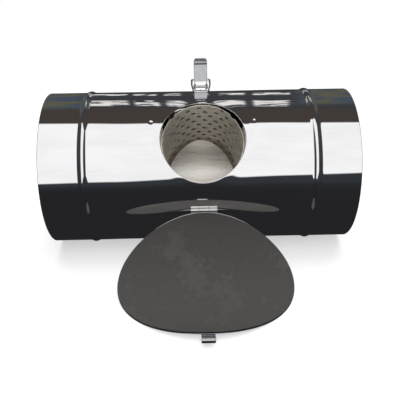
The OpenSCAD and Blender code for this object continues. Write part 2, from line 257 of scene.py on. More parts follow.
def rounded_outline(half_width: float, low: float, high: float, corner: float,
                    steps: int = 6) -> np.ndarray:
    """A rectangle with round corners: X from -half_width to half_width, Y from low to high.

    Args:
        half_width: Half of the size along X.
        low: Least Y.
        high: Most Y.
        corner: Radius of the corners.
        steps: Steps round each corner.

    Returns:
        The closed outline's points, shape (n, 2).
    """
    right, top, bottom = half_width - corner, high - corner, low + corner
    sides = [arc((right, top), corner, 0, 90, steps), arc((-right, top), corner, 90, 180, steps),
             arc((-right, bottom), corner, 180, 270, steps),
             arc((right, bottom), corner, 270, 360, steps)]
    rough = np.vstack(sides)
    return spread(rough, 8 * steps + 24)


def spread(outline: np.ndarray, extra: int) -> np.ndarray:
    """Adds points along an outline's longest sides, so that no side is one long step.

    Args:
        outline: Closed outline, shape (n, 2).
        extra: About how many points to add.

    Returns:
        The outline with its corners kept and more points between them.
    """
    after = np.roll(outline, -1, axis=0)
    length = np.linalg.norm(after - outline, axis=1)
    parts = np.maximum(1, np.round(length / length.sum() * extra)).astype(int)
    steps = [a + (b - a) * np.linspace(0, 1, n, endpoint=False)[:, None]
             for a, b, n in zip(outline, after, parts)]
    return np.vstack(steps)


def inset(outline: np.ndarray, depth: np.ndarray) -> np.ndarray:
    """Moves a closed outline inwards, square to its own direction.

    Args:
        outline: Counter-clockwise outline, shape (n, 2).
        depth: How far inwards each copy goes, shape (m,).

    Returns:
        The m moved outlines, shape (m, n, 2).
    """
    along = np.roll(outline, -1, axis=0) - np.roll(outline, 1, axis=0)
    along /= np.maximum(np.linalg.norm(along, axis=1, keepdims=True), SMALLEST)
    inwards = np.stack([-along[:, 1], along[:, 0]], axis=1)
    return outline[None] + depth[:, None, None] * inwards[None]


def sheet(outline: np.ndarray, low: float, high: float, edge: float, wrap: Placing,
          rings: int = 8) -> Patch:
    """A flat or rolled sheet with a rounded edge.

    The surface runs from the middle of the top face out to the edge, round it as two quarter
    circles of radius edge, and back to the middle of the bottom face. Every ring of it is the
    outline, moved inwards near the edge and shrunk towards its centre elsewhere.

    Args:
        outline: Counter-clockwise outline, shape (n, 2).
        low: Height of the bottom face.
        high: Height of the top face.
        edge: Radius of the edge.
        wrap: Turns (x, y, height) into a place.
        rings: Rings of each face.

    Returns:
        The closed patch.
    """
    turn = np.radians(np.linspace(90, 0, 5))
    depth = np.concatenate([edge * (1 - np.cos(turn)), (edge * (1 - np.cos(turn)))[::-1]])
    height = np.concatenate([high - edge + edge * np.sin(turn),
                             (low + edge - edge * np.sin(turn))[::-1]])
    border = inset(outline, depth)
    centre = outline.mean(axis=0)
    share = np.linspace(0, 1, rings, endpoint=False)[:, None, None]
    top = centre + (border[:1] - centre) * share
    flat = np.concatenate([top, border, top[::-1]])
    level = np.concatenate([np.full(rings, high), height, np.full(rings, low)])
    level = np.broadcast_to(level[:, None, None], flat.shape[:2] + (1,))
    return Patch(wrap(np.concatenate([flat, level], axis=2)), round_v=True)


def rounded_path(corners: np.ndarray, radius: float, steps: int = 8) -> np.ndarray:
    """A path whose corners are bent: each corner becomes a quadratic curve between two points
    that lie on its sides, radius away from it.

    Args:
        corners: The path's corners, shape (n, 3).
        radius: How far from a corner its bend starts.
        steps: Steps round each bend.

    Returns:
        The path's points, shape (m, 3).
    """
    part = np.linspace(0, 1, steps + 1)[:, None]
    points = [corners[:1]]
    for before, corner, after in zip(corners[:-2], corners[1:-1], corners[2:]):
        reach_in = min(radius, np.linalg.norm(before - corner) * 0.45)
        reach_out = min(radius, np.linalg.norm(after - corner) * 0.45)
        start = corner + (before - corner) / np.linalg.norm(before - corner) * reach_in
        end = corner + (after - corner) / np.linalg.norm(after - corner) * reach_out
        points.append((1 - part) ** 2 * start + 2 * part * (1 - part) * corner + part ** 2 * end)
    points.append(corners[-1:])
    return np.vstack(points)


def wire(path: np.ndarray, radius: float, plane: np.ndarray, place: Placing,
         sides: int = 16) -> Patch:
    """A round wire along a flat path, with a small round at both ends.

    Each ring is path + r (cos t · across + sin t · plane), where across is square to the path
    within its plane. The last rings shrink as a circle's arc does.

    Args:
        path: The middle line, shape (n, 3).
        radius: The wire's radius.
        plane: Unit normal of the plane that holds the path.
        place: Puts the local points where they belong.
        sides: Steps round the wire.

    Returns:
        The closed patch.
    """
    along = np.gradient(path, axis=0)
    along /= np.linalg.norm(along, axis=1, keepdims=True)
    across = np.cross(along, plane)
    turn = np.linspace(0, FULL_TURN, sides, endpoint=False)[None, :, None]
    ring = np.cos(turn) * across[:, None] + np.sin(turn) * plane
    curve = np.radians(np.linspace(0, 90, 5))[:, None, None]
    ends = []
    for k, sign in ((0, -1), (-1, 1)):
        out = path[k] + sign * along[k] * radius * 0.5 * np.sin(curve)
        ends.append(out + radius * np.cos(curve) * ring[k][None])
    body = path[:, None] + radius * ring
    return Patch(place(np.concatenate([ends[0][::-1], body[1:-1], ends[1]])), round_v=True)


# ---------------------------------------------------------------------------
# Frames of reference
# ---------------------------------------------------------------------------


def joint_place(name: str) -> np.ndarray:
    """Where a joint's axis passes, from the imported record."""
    joint = next(j for j in frame["joints"] if j["name"] == name)
    return np.array(joint["pos_m"], float)


@dataclass
class Layout:
    """Where the opening, the door and the latch sit round the flue's axis, in metres."""

    radius: float = 76 * MM
    sheet: float = 1 * MM
    hinge_angle: float = 51.9
    door_swing: float = 159
    latch_angle: float = 64
    pivot_rise: float = 4.2 * MM
    hinge: np.ndarray = field(default_factory=lambda: joint_place("door_hinge"))

    def __post_init__(self) -> None:
        """Works out the opening's elevation from the hinge pin's own."""
        pin = math.degrees(math.atan2(self.hinge[2], -self.hinge[1]))
        self.elevation = math.radians(pin + self.hinge_angle)
        self.opening_x = float(self.hinge[0])
        low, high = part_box("flue_shell")
        self.length = high.x - low.x

    def at_opening(self, local: np.ndarray) -> np.ndarray:
        """Puts points whose Z runs out along the opening's axis and Y towards the latch."""
        sine, cosine = math.sin(self.elevation), math.cos(self.elevation)
        x, y, z = np.moveaxis(local, -1, 0)
        return np.stack([x + self.opening_x, sine * y - cosine * z, cosine * y + sine * z], axis=-1)

    def rolled(self, local: np.ndarray) -> np.ndarray:
        """Rolls (x, arc, radius) round the flue: the arc is measured at the flue's radius."""
        x, along, radius = np.moveaxis(local, -1, 0)
        turn = along / self.radius
        return self.at_opening(np.stack([x, radius * np.sin(turn), radius * np.cos(turn)], axis=-1))

    def opened(self, place: Placing) -> Placing:
        """Turns what a shut door holds about the hinge pin, to where it lies open."""
        swing = math.radians(self.door_swing)

        def turned(local: np.ndarray) -> np.ndarray:
            """Places the points, then turns them about the pin."""
            x, y, z = np.moveaxis(place(local) - self.hinge, -1, 0)
            sine, cosine = math.sin(swing), math.cos(swing)
            return np.stack([x, cosine * y - sine * z, sine * y + cosine * z], axis=-1) + self.hinge

        return turned

    def at_latch(self, local: np.ndarray) -> np.ndarray:
        """Puts points whose origin is the lever's pivot, Y away from the door, Z off the flue."""
        turn = math.radians(self.latch_angle)
        sine, cosine = math.sin(turn), math.cos(turn)
        x, y, z = np.moveaxis(local, -1, 0)
        rise = self.radius + self.pivot_rise + z
        return self.at_opening(np.stack([x, rise * sine + y * cosine, rise * cosine - y * sine], axis=-1))

    def standing(self, x: float, along: float, radius: float) -> Placing:
        """A frame whose Z stands off the flue, at a place along it and an arc round it.

        Args:
            x: Distance from the opening's middle.
            along: Arc from the opening's axis, at the flue's radius.
            radius: Distance of the frame's origin from the flue's axis.

        Returns:
            The function that places local points.
        """
        turn = along / self.radius
        sine, cosine = math.sin(turn), math.cos(turn)

        def put(local: np.ndarray) -> np.ndarray:
            """Tilts the points with the flue's surface and moves them to it."""
            px, py, pz = np.moveaxis(local, -1, 0)
            up = radius + pz
            return self.at_opening(np.stack([px + x, up * sine + py * cosine,
                                             up * cosine - py * sine], axis=-1))

        return put


# ---------------------------------------------------------------------------
# Finishes
# ---------------------------------------------------------------------------


class Tree:
    """A shader node tree, with short ways to add and join nodes."""

    def __init__(self, tree: bpy.types.NodeTree) -> None:
        """Keeps the tree."""
        self.tree = tree

    def add(self, kind: str, inputs: dict | None = None, **settings: object) -> bpy.types.Node:
        """Adds a node.

        Args:
            kind: The node's type.
            inputs: Input name or number to a constant, or to a socket that feeds it.
            **settings: The node's own settings.

        Returns:
            The node.
        """
        node = self.tree.nodes.new(kind)
        for key, value in settings.items():
            setattr(node, key, value)
        for key, value in (inputs or {}).items():
            if isinstance(value, bpy.types.NodeSocket):
                self.join(value, node.inputs[key])
            else:
                node.inputs[key].default_value = value
        return node

    def join(self, result: bpy.types.NodeSocket, target: bpy.types.NodeSocket) -> None:
        """Feeds one socket from another."""
        self.tree.links.new(result, target)

    def math(self, operation: str, *values: object) -> bpy.types.NodeSocket:
        """Adds a sum, product or other operation on numbers, and returns its result."""
        return self.add("ShaderNodeMath", dict(enumerate(values)), operation=operation).outputs[0]

    def ramp(self, value: object, low: object, high: object, to_low: object = 0.0,
             to_high: object = 1.0) -> bpy.types.NodeSocket:
        """Maps a number smoothly from low..high to to_low..to_high, and stops at both ends."""
        inputs = {"Value": value, "From Min": low, "From Max": high,
                  "To Min": to_low, "To Max": to_high}
        return self.add("ShaderNodeMapRange", inputs, interpolation_type="SMOOTHSTEP").outputs[0]

    def band(self, value: object, low: object, high: object, soft: float) -> bpy.types.NodeSocket:
        """1 between two levels of a value and 0 outside them, with soft borders."""
        rise = self.ramp(value, self.math("SUBTRACT", low, soft), self.math("ADD", low, soft))
        fall = self.ramp(value, self.math("SUBTRACT", high, soft), self.math("ADD", high, soft))
        return self.math("SUBTRACT", rise, fall)

    def noise(self, place: object, scale: object, detail: float = 4.0) -> bpy.types.NodeSocket:
        """Adds a noise texture and returns its value."""
        inputs = {"Vector": place, "Scale": scale, "Detail": detail}
        return self.add("ShaderNodeTexNoise", inputs).outputs["Fac"]

    def stretch(self, place: object, factors: object) -> bpy.types.NodeSocket:
        """Multiplies a place by a factor for each axis."""
        return self.add("ShaderNodeVectorMath", {0: place, 1: factors},
                        operation="MULTIPLY").outputs[0]

    def mix(self, share: object, first: object, second: object) -> bpy.types.NodeSocket:
        """Mixes two colours."""
        inputs = {0: share, 6: first, 7: second}
        return self.add("ShaderNodeMix", inputs, data_type="RGBA").outputs[2]

    def group(self, effect: bpy.types.NodeTree, **inputs: object) -> bpy.types.NodeOutputs:
        """Adds a shared node group with its named inputs, and returns its outputs."""
        return self.add("ShaderNodeGroup", inputs, node_tree=effect).outputs


def grey(level: float) -> tuple[float, float, float, float]:
    """A colour with no hue, as a shader socket takes it."""
    return (level, level, level, 1.0)


def new_material(name: str) -> tuple[bpy.types.Material, Tree]:
    """Starts a material with an empty node tree."""
    made = bpy.data.materials.new(name)
    made.use_nodes = True
    made.node_tree.nodes.clear()
    return made, Tree(made.node_tree)


def new_group(name: str, inputs: Sequence[tuple[str, str, object]],
              outputs: Sequence[tuple[str, str]]) -> tuple[bpy.types.NodeTree, Tree, object, object]:
    """Starts a shader node group with named sockets.

    Args:
        name: The group's name.
        inputs: Name, kind and first value of each input.
        outputs: Name and kind of each output.

    Returns:
        The group, its tree, its input node and its output node.
    """
    group = bpy.data.node_groups.new(name, "ShaderNodeTree")
    for label, kind, value in inputs:
        socket = group.interface.new_socket(label, in_out="INPUT", socket_type="NodeSocket" + kind)
        if value is not None:
            socket.default_value = value
    for label, kind in outputs:
        group.interface.new_socket(label, in_out="OUTPUT", socket_type="NodeSocket" + kind)
    tree = Tree(group)
    return group, tree, tree.add("NodeGroupInput").outputs, tree.add("NodeGroupOutput").inputs


class Effects:
    """The shader node groups that the finishes share, each made once."""

    def __init__(self) -> None:
        """Makes the groups."""
        self.grain = self._grain()
        self.marks = self._marks()
        self.specks = self._specks()
        self.deep_shade = self._deep_shade()
        self.ripple = self._ripple()

    @staticmethod
    def _grain() -> bpy.types.NodeTree:
        """Rolling or brushing lines: noise squeezed across the lines and drawn out along them."""
        group, tree, given, out = new_group(
            "brushed_grain",
            [("Place", "Vector", None), ("Stretch", "Vector", (1.0, 1.0, 1.0)),
             ("Roughest", "Float", 0.4), ("Smoothest", "Float", 0.2)],
            [("Tone", "Float"), ("Roughness", "Float"), ("Height", "Float")])
        drawn = tree.stretch(given["Place"], given["Stretch"])
        fine = tree.noise(drawn, 1.0, 8.0)
        broad = tree.noise(drawn, 0.17, 3.0)
        both = tree.math("ADD", tree.math("MULTIPLY", fine, 0.65), tree.math("MULTIPLY", broad, 0.35))
        tree.join(tree.ramp(both, 0.36, 0.64), out["Tone"])
        rough = tree.ramp(both, 0.36, 0.64, given["Smoothest"], given["Roughest"])
        tree.join(rough, out["Roughness"])
        tree.join(fine, out["Height"])
        return group

    @staticmethod
    def _marks() -> bpy.types.NodeTree:
        """Smudges and finger marks: two noises of unlike size, cut at a level."""
        group, tree, given, out = new_group(
            "handling_marks",
            [("Place", "Vector", None), ("Scale", "Float", 30.0), ("Cover", "Float", 0.5)],
            [("Mask", "Float"), ("Height", "Float")])
        wide = tree.noise(given["Place"], given["Scale"], 2.0)
        fine = tree.noise(given["Place"], tree.math("MULTIPLY", given["Scale"], 7.3), 5.0)
        both = tree.math("ADD", tree.math("MULTIPLY", wide, 0.7), tree.math("MULTIPLY", fine, 0.3))
        level = tree.math("SUBTRACT", 0.72, tree.math("MULTIPLY", given["Cover"], 0.4))
        mask = tree.ramp(both, level, tree.math("ADD", level, 0.12))
        tree.join(mask, out["Mask"])
        tree.join(fine, out["Height"])
        return group

    @staticmethod
    def _specks() -> bpy.types.NodeTree:
        """Tiny specks: the cells of a Voronoi pattern whose centre is near and whose draw is high."""
        group, tree, given, out = new_group(
            "specks",
            [("Place", "Vector", None), ("Scale", "Float", 700.0), ("Share", "Float", 0.1)],
            [("Mask", "Float")])
        cells = tree.add("ShaderNodeTexVoronoi", {"Vector": given["Place"], "Scale": given["Scale"]})
        near = tree.ramp(cells.outputs["Distance"], 0.32, 0.16)
        drawn = tree.add("ShaderNodeSeparateColor", {0: cells.outputs["Color"]}).outputs[0]
        chosen = tree.math("GREATER_THAN", drawn, tree.math("SUBTRACT", 1.0, given["Share"]))
        tree.join(tree.math("MULTIPLY", near, chosen), out["Mask"])
        return group

    @staticmethod
    def _deep_shade() -> bpy.types.NodeTree:
        """Painted shade: a darker colour that grows from one distance along an axis to another, with a
        ragged border.
        """
        group, tree, given, out = new_group(
            "painted_deep_shade",
            [("Place", "Vector", None), ("Axis", "Vector", (0.0, 0.0, 1.0)),
             ("Clean", "Float", 0.0), ("Tinted", "Float", 0.01)],
            [("Mask", "Float")])
        along = tree.add("ShaderNodeVectorMath", {0: given["Place"], 1: given["Axis"]},
                         operation="DOT_PRODUCT").outputs["Value"]
        ragged = tree.math("MULTIPLY", tree.math("SUBTRACT", tree.noise(given["Place"], 90.0), 0.5), 0.012)
        place = tree.math("ADD", along, ragged)
        tree.join(tree.ramp(place, given["Clean"], given["Tinted"]), out["Mask"])
        return group

    @staticmethod
    def _ripple() -> bpy.types.NodeTree:
        """The slight unevenness of rolled sheet: broad noise, a few centimetres across."""
        group, tree, given, out = new_group(
            "sheet_ripple", [("Place", "Vector", None), ("Scale", "Float", 20.0)],
            [("Height", "Float")])
        tree.join(tree.noise(given["Place"], given["Scale"], 1.0), out["Height"])
        return group


@dataclass(frozen=True)
class SteelFinish:
    """A steel surface: its colours, how rough it is, its grain, what has marked it and, on some, painted
    shade.
    """

    name: str
    colour: Colour
    shade: Colour
    smoothest: float
    roughest: float
    stretch: tuple[float, float, float] = (60.0, 900.0, 900.0)
    grain_height: float = 0.02
    ripple: float = 0.0
    ripple_scale: float = 22.0
    marks: Colour = (0.30, 0.29, 0.28)
    marks_cover: float = 0.25
    marks_scale: float = 45.0
    marks_strength: float = 0.5
    marks_roughness: float = 0.25
    # Painted shade: a darker colour that grows along an axis, standing in for the shade deep in a recess.
    deep_shade_colour: Colour | None = None
    deep_shade_axis: tuple[float, float, float] = (0.0, 0.0, 1.0)
    deep_shade_span: tuple[float, float] = (0.0, 0.01)
    metallic: float = 1.0

    def material(self, effects: Effects) -> bpy.types.Material:
        """Makes the material.

        Args:
            effects: The shared node groups.

        Returns:
            The material.
        """
        made, tree = new_material(self.name)
        place = tree.add("ShaderNodeTexCoord").outputs["Object"]
        grain = tree.group(effects.grain, Place=place, Stretch=self.stretch,
                           Roughest=self.roughest, Smoothest=self.smoothest)
        marks = tree.group(effects.marks, Place=place, Scale=self.marks_scale, Cover=self.marks_cover)
        colour = tree.mix(grain["Tone"], (*self.shade, 1), (*self.colour, 1))
        # Painted shade: the colour darkens along the axis, standing in for the shade deeper in.
        if self.deep_shade_colour:
            deep_shade = tree.group(effects.deep_shade, Place=place, Axis=self.deep_shade_axis,
                              Clean=self.deep_shade_span[0], Tinted=self.deep_shade_span[1])
            colour = tree.mix(deep_shade["Mask"], colour, (*self.deep_shade_colour, 1))
        share = tree.math("MULTIPLY", marks["Mask"], self.marks_strength)
        colour = tree.mix(share, colour, (*self.marks, 1))
        duller = tree.math("MULTIPLY", share, self.marks_roughness)
        rough = tree.math("ADD", grain["Roughness"], duller)
        height = tree.math("MULTIPLY", grain["Height"], self.grain_height * MM)
        if self.ripple:
            ripple = tree.group(effects.ripple, Place=place, Scale=self.ripple_scale)
            wave = tree.math("MULTIPLY", ripple["Height"], self.ripple * MM)
            height = tree.math("ADD", height, wave)
        bump = tree.add("ShaderNodeBump", {"Height": height, "Strength": 1.0, "Distance": 1.0})
        shader = tree.add("ShaderNodeBsdfPrincipled", {
            "Base Color": colour, "Roughness": rough, "Normal": bump.outputs[0],
            "Metallic": self.metallic})
        tree.add("ShaderNodeOutputMaterial", {"Surface": shader.outputs[0]})
        return made


@dataclass(frozen=True)
class LiningFinish:
    """The matt dark lining: faint blotches, pale specks and a fine tooth."""

    name: str = "matt_lining"
    colour: Colour = (0.034, 0.0325, 0.031)
    blotch: Colour = (0.042, 0.040, 0.038)
    speck: Colour = (0.16, 0.155, 0.145)
    blotch_scale: float = 26.0
    blotch_cover: float = 0.55
    blotch_strength: float = 0.3
    speck_share: float = 0.035
    speck_scale: float = 1150.0
    tooth_scale: float = 2600.0
    tooth_height: float = 0.06 * MM
    blotch_height: float = 0.08 * MM
    roughness: float = 0.80
    worn_roughness: float = 0.62

    def material(self, effects: Effects) -> bpy.types.Material:
        """Makes the material from the shared groups and one Principled shader."""
        made, tree = new_material(self.name)
        place = tree.add("ShaderNodeTexCoord").outputs["Object"]
        marks = tree.group(effects.marks, Place=place, Scale=self.blotch_scale,
                           Cover=self.blotch_cover)
        specks = tree.group(effects.specks, Place=place, Scale=self.speck_scale,
                            Share=self.speck_share)
        colour = tree.mix(tree.math("MULTIPLY", marks["Mask"], self.blotch_strength),
                          (*self.colour, 1), (*self.blotch, 1))
        colour = tree.mix(specks["Mask"], colour, (*self.speck, 1))
        tooth = tree.noise(place, self.tooth_scale, 3.0)
        height = tree.math("ADD", tree.math("MULTIPLY", tooth, self.tooth_height),
                           tree.math("MULTIPLY", marks["Height"], self.blotch_height))
        bump = tree.add("ShaderNodeBump", {"Height": height, "Strength": 1.0, "Distance": 1.0})
        rough = tree.ramp(marks["Mask"], 0.0, 1.0, self.roughness, self.worn_roughness)
        shader = tree.add("ShaderNodeBsdfPrincipled", {
            "Base Color": colour, "Roughness": rough, "Normal": bump.outputs[0]})
        tree.add("ShaderNodeOutputMaterial", {"Surface": shader.outputs[0]})
        return made


def opening_axis(layout: Layout) -> tuple[float, float, float]:
    """Unit vector out along the opening's axis."""
    return (0.0, -math.cos(layout.elevation), math.sin(layout.elevation))


class Finishes:
    """Every finish on the object, by the record's material slot."""

    def __init__(self, layout: Layout) -> None:
        """Makes the materials.

        Args:
            layout: Gives the direction of the basket's axis, along which the basket's sheet gets painted
                shade, darker deeper in.
        """
        effects = Effects()
        out = opening_axis(layout)
        steels = {
            "polished_sheet": SteelFinish(
                "mirror_polish", (0.93, 0.93, 0.94), (0.90, 0.90, 0.91), 0.022, 0.05,
                stretch=(25.0, 1500.0, 1500.0), grain_height=0.0004, ripple=0.02,
                marks=(0.78, 0.77, 0.76), marks_cover=0.12, marks_scale=16.0, marks_strength=0.22),
            "weld": SteelFinish(
                "dressed_weld", (0.62, 0.58, 0.52), (0.42, 0.38, 0.34), 0.22, 0.42,
                stretch=(900.0, 160.0, 160.0), grain_height=0.05, marks=(0.24, 0.19, 0.22),
                marks_cover=0.5, marks_scale=90.0),
            # Its dark brown, growing past the flue's axis deeper into the basket, is painted shade.
            "perforated_sheet": SteelFinish(
                "tanned_sheet", (0.64, 0.60, 0.52), (0.51, 0.475, 0.41), 0.36, 0.52,
                stretch=(420.0, 120.0, 120.0), grain_height=0.02, marks=(0.27, 0.235, 0.19),
                marks_cover=0.30, marks_scale=60.0, marks_strength=0.4, metallic=0.55,
                deep_shade_colour=(0.21, 0.165, 0.12), deep_shade_axis=out, deep_shade_span=(-0.014, -0.030)),
            "plain_sheet": SteelFinish(
                "satin_cap", (0.93, 0.91, 0.87), (0.80, 0.77, 0.71), 0.26, 0.40,
                stretch=(40.0, 1300.0, 1300.0), grain_height=0.012, marks=(0.66, 0.57, 0.45),
                marks_cover=0.34, marks_scale=30.0, marks_strength=0.45, metallic=0.6),
            "tab_sheet": SteelFinish(
                "satin_tab", (0.62, 0.61, 0.58), (0.48, 0.46, 0.43), 0.28, 0.42,
                stretch=(60.0, 900.0, 900.0), grain_height=0.015),
            "hinge_steel": SteelFinish(
                "brushed_hinge", (0.84, 0.83, 0.81), (0.66, 0.65, 0.63), 0.18, 0.32,
                stretch=(60.0, 2600.0, 2600.0), grain_height=0.010, marks_cover=0.3,
                marks_scale=120.0),
            "pin_steel": SteelFinish(
                "turned_pin", (0.74, 0.74, 0.74), (0.56, 0.56, 0.56), 0.20, 0.34,
                stretch=(3200.0, 300.0, 300.0), grain_height=0.012, marks_scale=150.0),
            "rivet_steel": SteelFinish(
                "formed_rivet", (0.80, 0.80, 0.79), (0.62, 0.61, 0.60), 0.16, 0.32,
                stretch=(700.0, 700.0, 700.0), grain_height=0.02, marks_scale=180.0),
            "latch_steel": SteelFinish(
                "bright_latch", (0.56, 0.57, 0.60), (0.46, 0.47, 0.49), 0.13, 0.22,
                stretch=(1500.0, 120.0, 120.0), grain_height=0.004, marks_scale=110.0,
                marks_strength=0.35),
            "wire_steel": SteelFinish(
                "drawn_wire", (0.84, 0.84, 0.84), (0.66, 0.66, 0.66), 0.10, 0.22,
                stretch=(400.0, 2000.0, 2000.0), grain_height=0.006, marks_scale=160.0),
        }
        self.materials = {slot: steel.material(effects) for slot, steel in steels.items()}
        self.materials["lining"] = LiningFinish().material(effects)

    def dress(self, piece: bpy.types.Object, slot: str) -> None:
        """Gives a piece the finish of a slot, in every slot of its mesh."""
        if not piece.data.materials:
            piece.data.materials.append(self.materials[slot])
        for held in piece.material_slots:
            held.material = self.materials[slot]


# ---------------------------------------------------------------------------
# Sub-assemblies
# ---------------------------------------------------------------------------


def fit_out(piece: bpy.types.Object, body: Body, slot: str, finishes: Finishes,
            *stands_for: str) -> None:
    """Dresses a new piece, ties it to its body and lets it stand for its CAD nodes.

    Args:
        piece: The piece.
        body: The body that it rides on.
        slot: The record's material slot.
        finishes: The materials.
        *stands_for: The CAD nodes that it replaces.
    """
    finishes.dress(piece, slot)
    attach(piece, body.value)
    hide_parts(*stands_for)
    LOG.info("%s: %d faces on %s", piece.name, len(piece.data.polygons), body.value)


def keep_node(name: str, slot: str, finishes: Finishes) -> None:
    """Keeps a CAD node's own shape and gives it a finish."""
    finishes.dress(frame["nodes"][name], slot)
    LOG.info("%s: CAD shape kept, finish %s", name, slot)


def sideways(place: Placing) -> Placing:
    """Turns a shape's own Z to lie along X, and its X and Y to lie in Y and Z."""
    return lambda local: place(np.stack([local[..., 2], local[..., 0], local[..., 1]], axis=-1))


def bent(place: Placing, angle: float, rise: float) -> Placing:
    """Turns points about X by an angle in degrees, then lifts them along Z."""
    sine, cosine = math.sin(math.radians(angle)), math.cos(math.radians(angle))

    def turned(local: np.ndarray) -> np.ndarray:
        """Turns and lifts the points, and places them."""
        x, y, z = np.moveaxis(local, -1, 0)
        return place(np.stack([x, cosine * y - sine * z, sine * y + cosine * z + rise], axis=-1))

    return turned


def smooth_path(corners: np.ndarray, steps: int = 6) -> np.ndarray:
    """A Catmull-Rom curve: a cubic between each two points, whose slope at a point is half the
    difference between the points beside it.

    Args:
        corners: The points that it passes, shape (n, 2).
        steps: Steps between two points.

    Returns:
        The curve's points, shape (m, 2).
    """
    ends = np.vstack([2 * corners[0] - corners[1], corners, 2 * corners[-1] - corners[-2]])
    part = np.linspace(0, 1, steps, endpoint=False)[None, :, None]
    p0, p1, p2, p3 = (ends[k:len(ends) - 3 + k, None] for k in range(4))
    curve = 0.5 * (2 * p1 + (p2 - p0) * part + (2 * p0 - 5 * p1 + 4 * p2 - p3) * part ** 2
                   + (3 * p1 - p0 - 3 * p2 + p3) * part ** 3)
    return np.vstack([curve.reshape(-1, 2), corners[-1:]])


def strip(path: np.ndarray, half: np.ndarray | float, thickness: float,
          place: Placing) -> list[Patch]:
    """A bent strip of sheet with round long edges.

    The section is a rectangle with round ends, thickness high and 2 half wide, carried along a
    path in Y and Z and square to it.

    Args:
        path: The strip's middle line in Y and Z, shape (n, 2).
        half: Half width at each point of the path.
        thickness: The sheet's thickness.
        place: Puts the local points where they belong.

    Returns:
        The body and its two ends.
    """
    edge = thickness / 2
    outline = np.vstack([line((-1, -edge), (1, -edge), steps=(8,))[:-1],
                         arc((1, 0), edge, -90, 90, 8)[:-1],
                         line((1, edge), (-1, edge), steps=(8,))[:-1],
                         arc((-1, 0), edge, 90, 270, 8)[:-1]])
    side = np.clip(outline[:, 0], -1, 1)
    round_part = outline[:, 0] - side
    along = np.gradient(path, axis=0)
    along /= np.linalg.norm(along, axis=1, keepdims=True)
    off = np.stack([-along[:, 1], along[:, 0]], axis=1)
    inner = np.broadcast_to(np.asarray(half, float) - edge, (len(path),))[:, None]
    x = inner * side[None] + round_part[None]
    yz = path[:, None] + off[:, None] * outline[None, :, 1:]
    body = np.concatenate([x[..., None], yz], axis=2)
    ends = []
    for k in (0, -1):
        middle = body[k].mean(axis=0, keepdims=True) + 0 * body[k]
        ends.append(Patch(place(np.stack([middle, body[k]])), round_v=True))
    return [Patch(place(body), round_v=True)] + ends


@dataclass
class Rivets:
    """Rivets with a domed head outside and, where a sheet has an inside, a flat tail."""

    shank: float = 1.1 * MM
    head: float = 1.9 * MM
    head_height: float = 0.8 * MM
    tail: float = 0.0
    tail_height: float = 0.5 * MM

    def one(self, place: Placing, low: float, high: float) -> list[Patch]:
        """A rivet: a circle's arc for the dome, a small round at its rim, then shank and tail.

        Args:
            place: A frame whose Z stands off the sheet.
            low: Height of the shank's foot.
            high: Height of the head's seat.

        Returns:
            The rivet's one closed patch.
        """
        ball = (self.head ** 2 + self.head_height ** 2) / (2 * self.head_height)
        wide = math.degrees(math.asin(self.head * 0.97 / ball))
        dome = arc((0, high + self.head_height - ball), ball, 90 - wide, 90, 8)
        rim = np.array([(self.shank, high), (self.head * 0.96, high), (self.head, high + 0.05 * MM)])
        foot = [(0.0, low), (self.shank, low)]
        if self.tail:
            foot = [(0.0, low - self.tail_height), (self.tail * 0.9, low - self.tail_height),
                    (self.tail, low - self.tail_height * 0.8), (self.tail, low), (self.shank, low)]
        return [revolved(np.vstack([foot, rim, dome]), place, 24)]


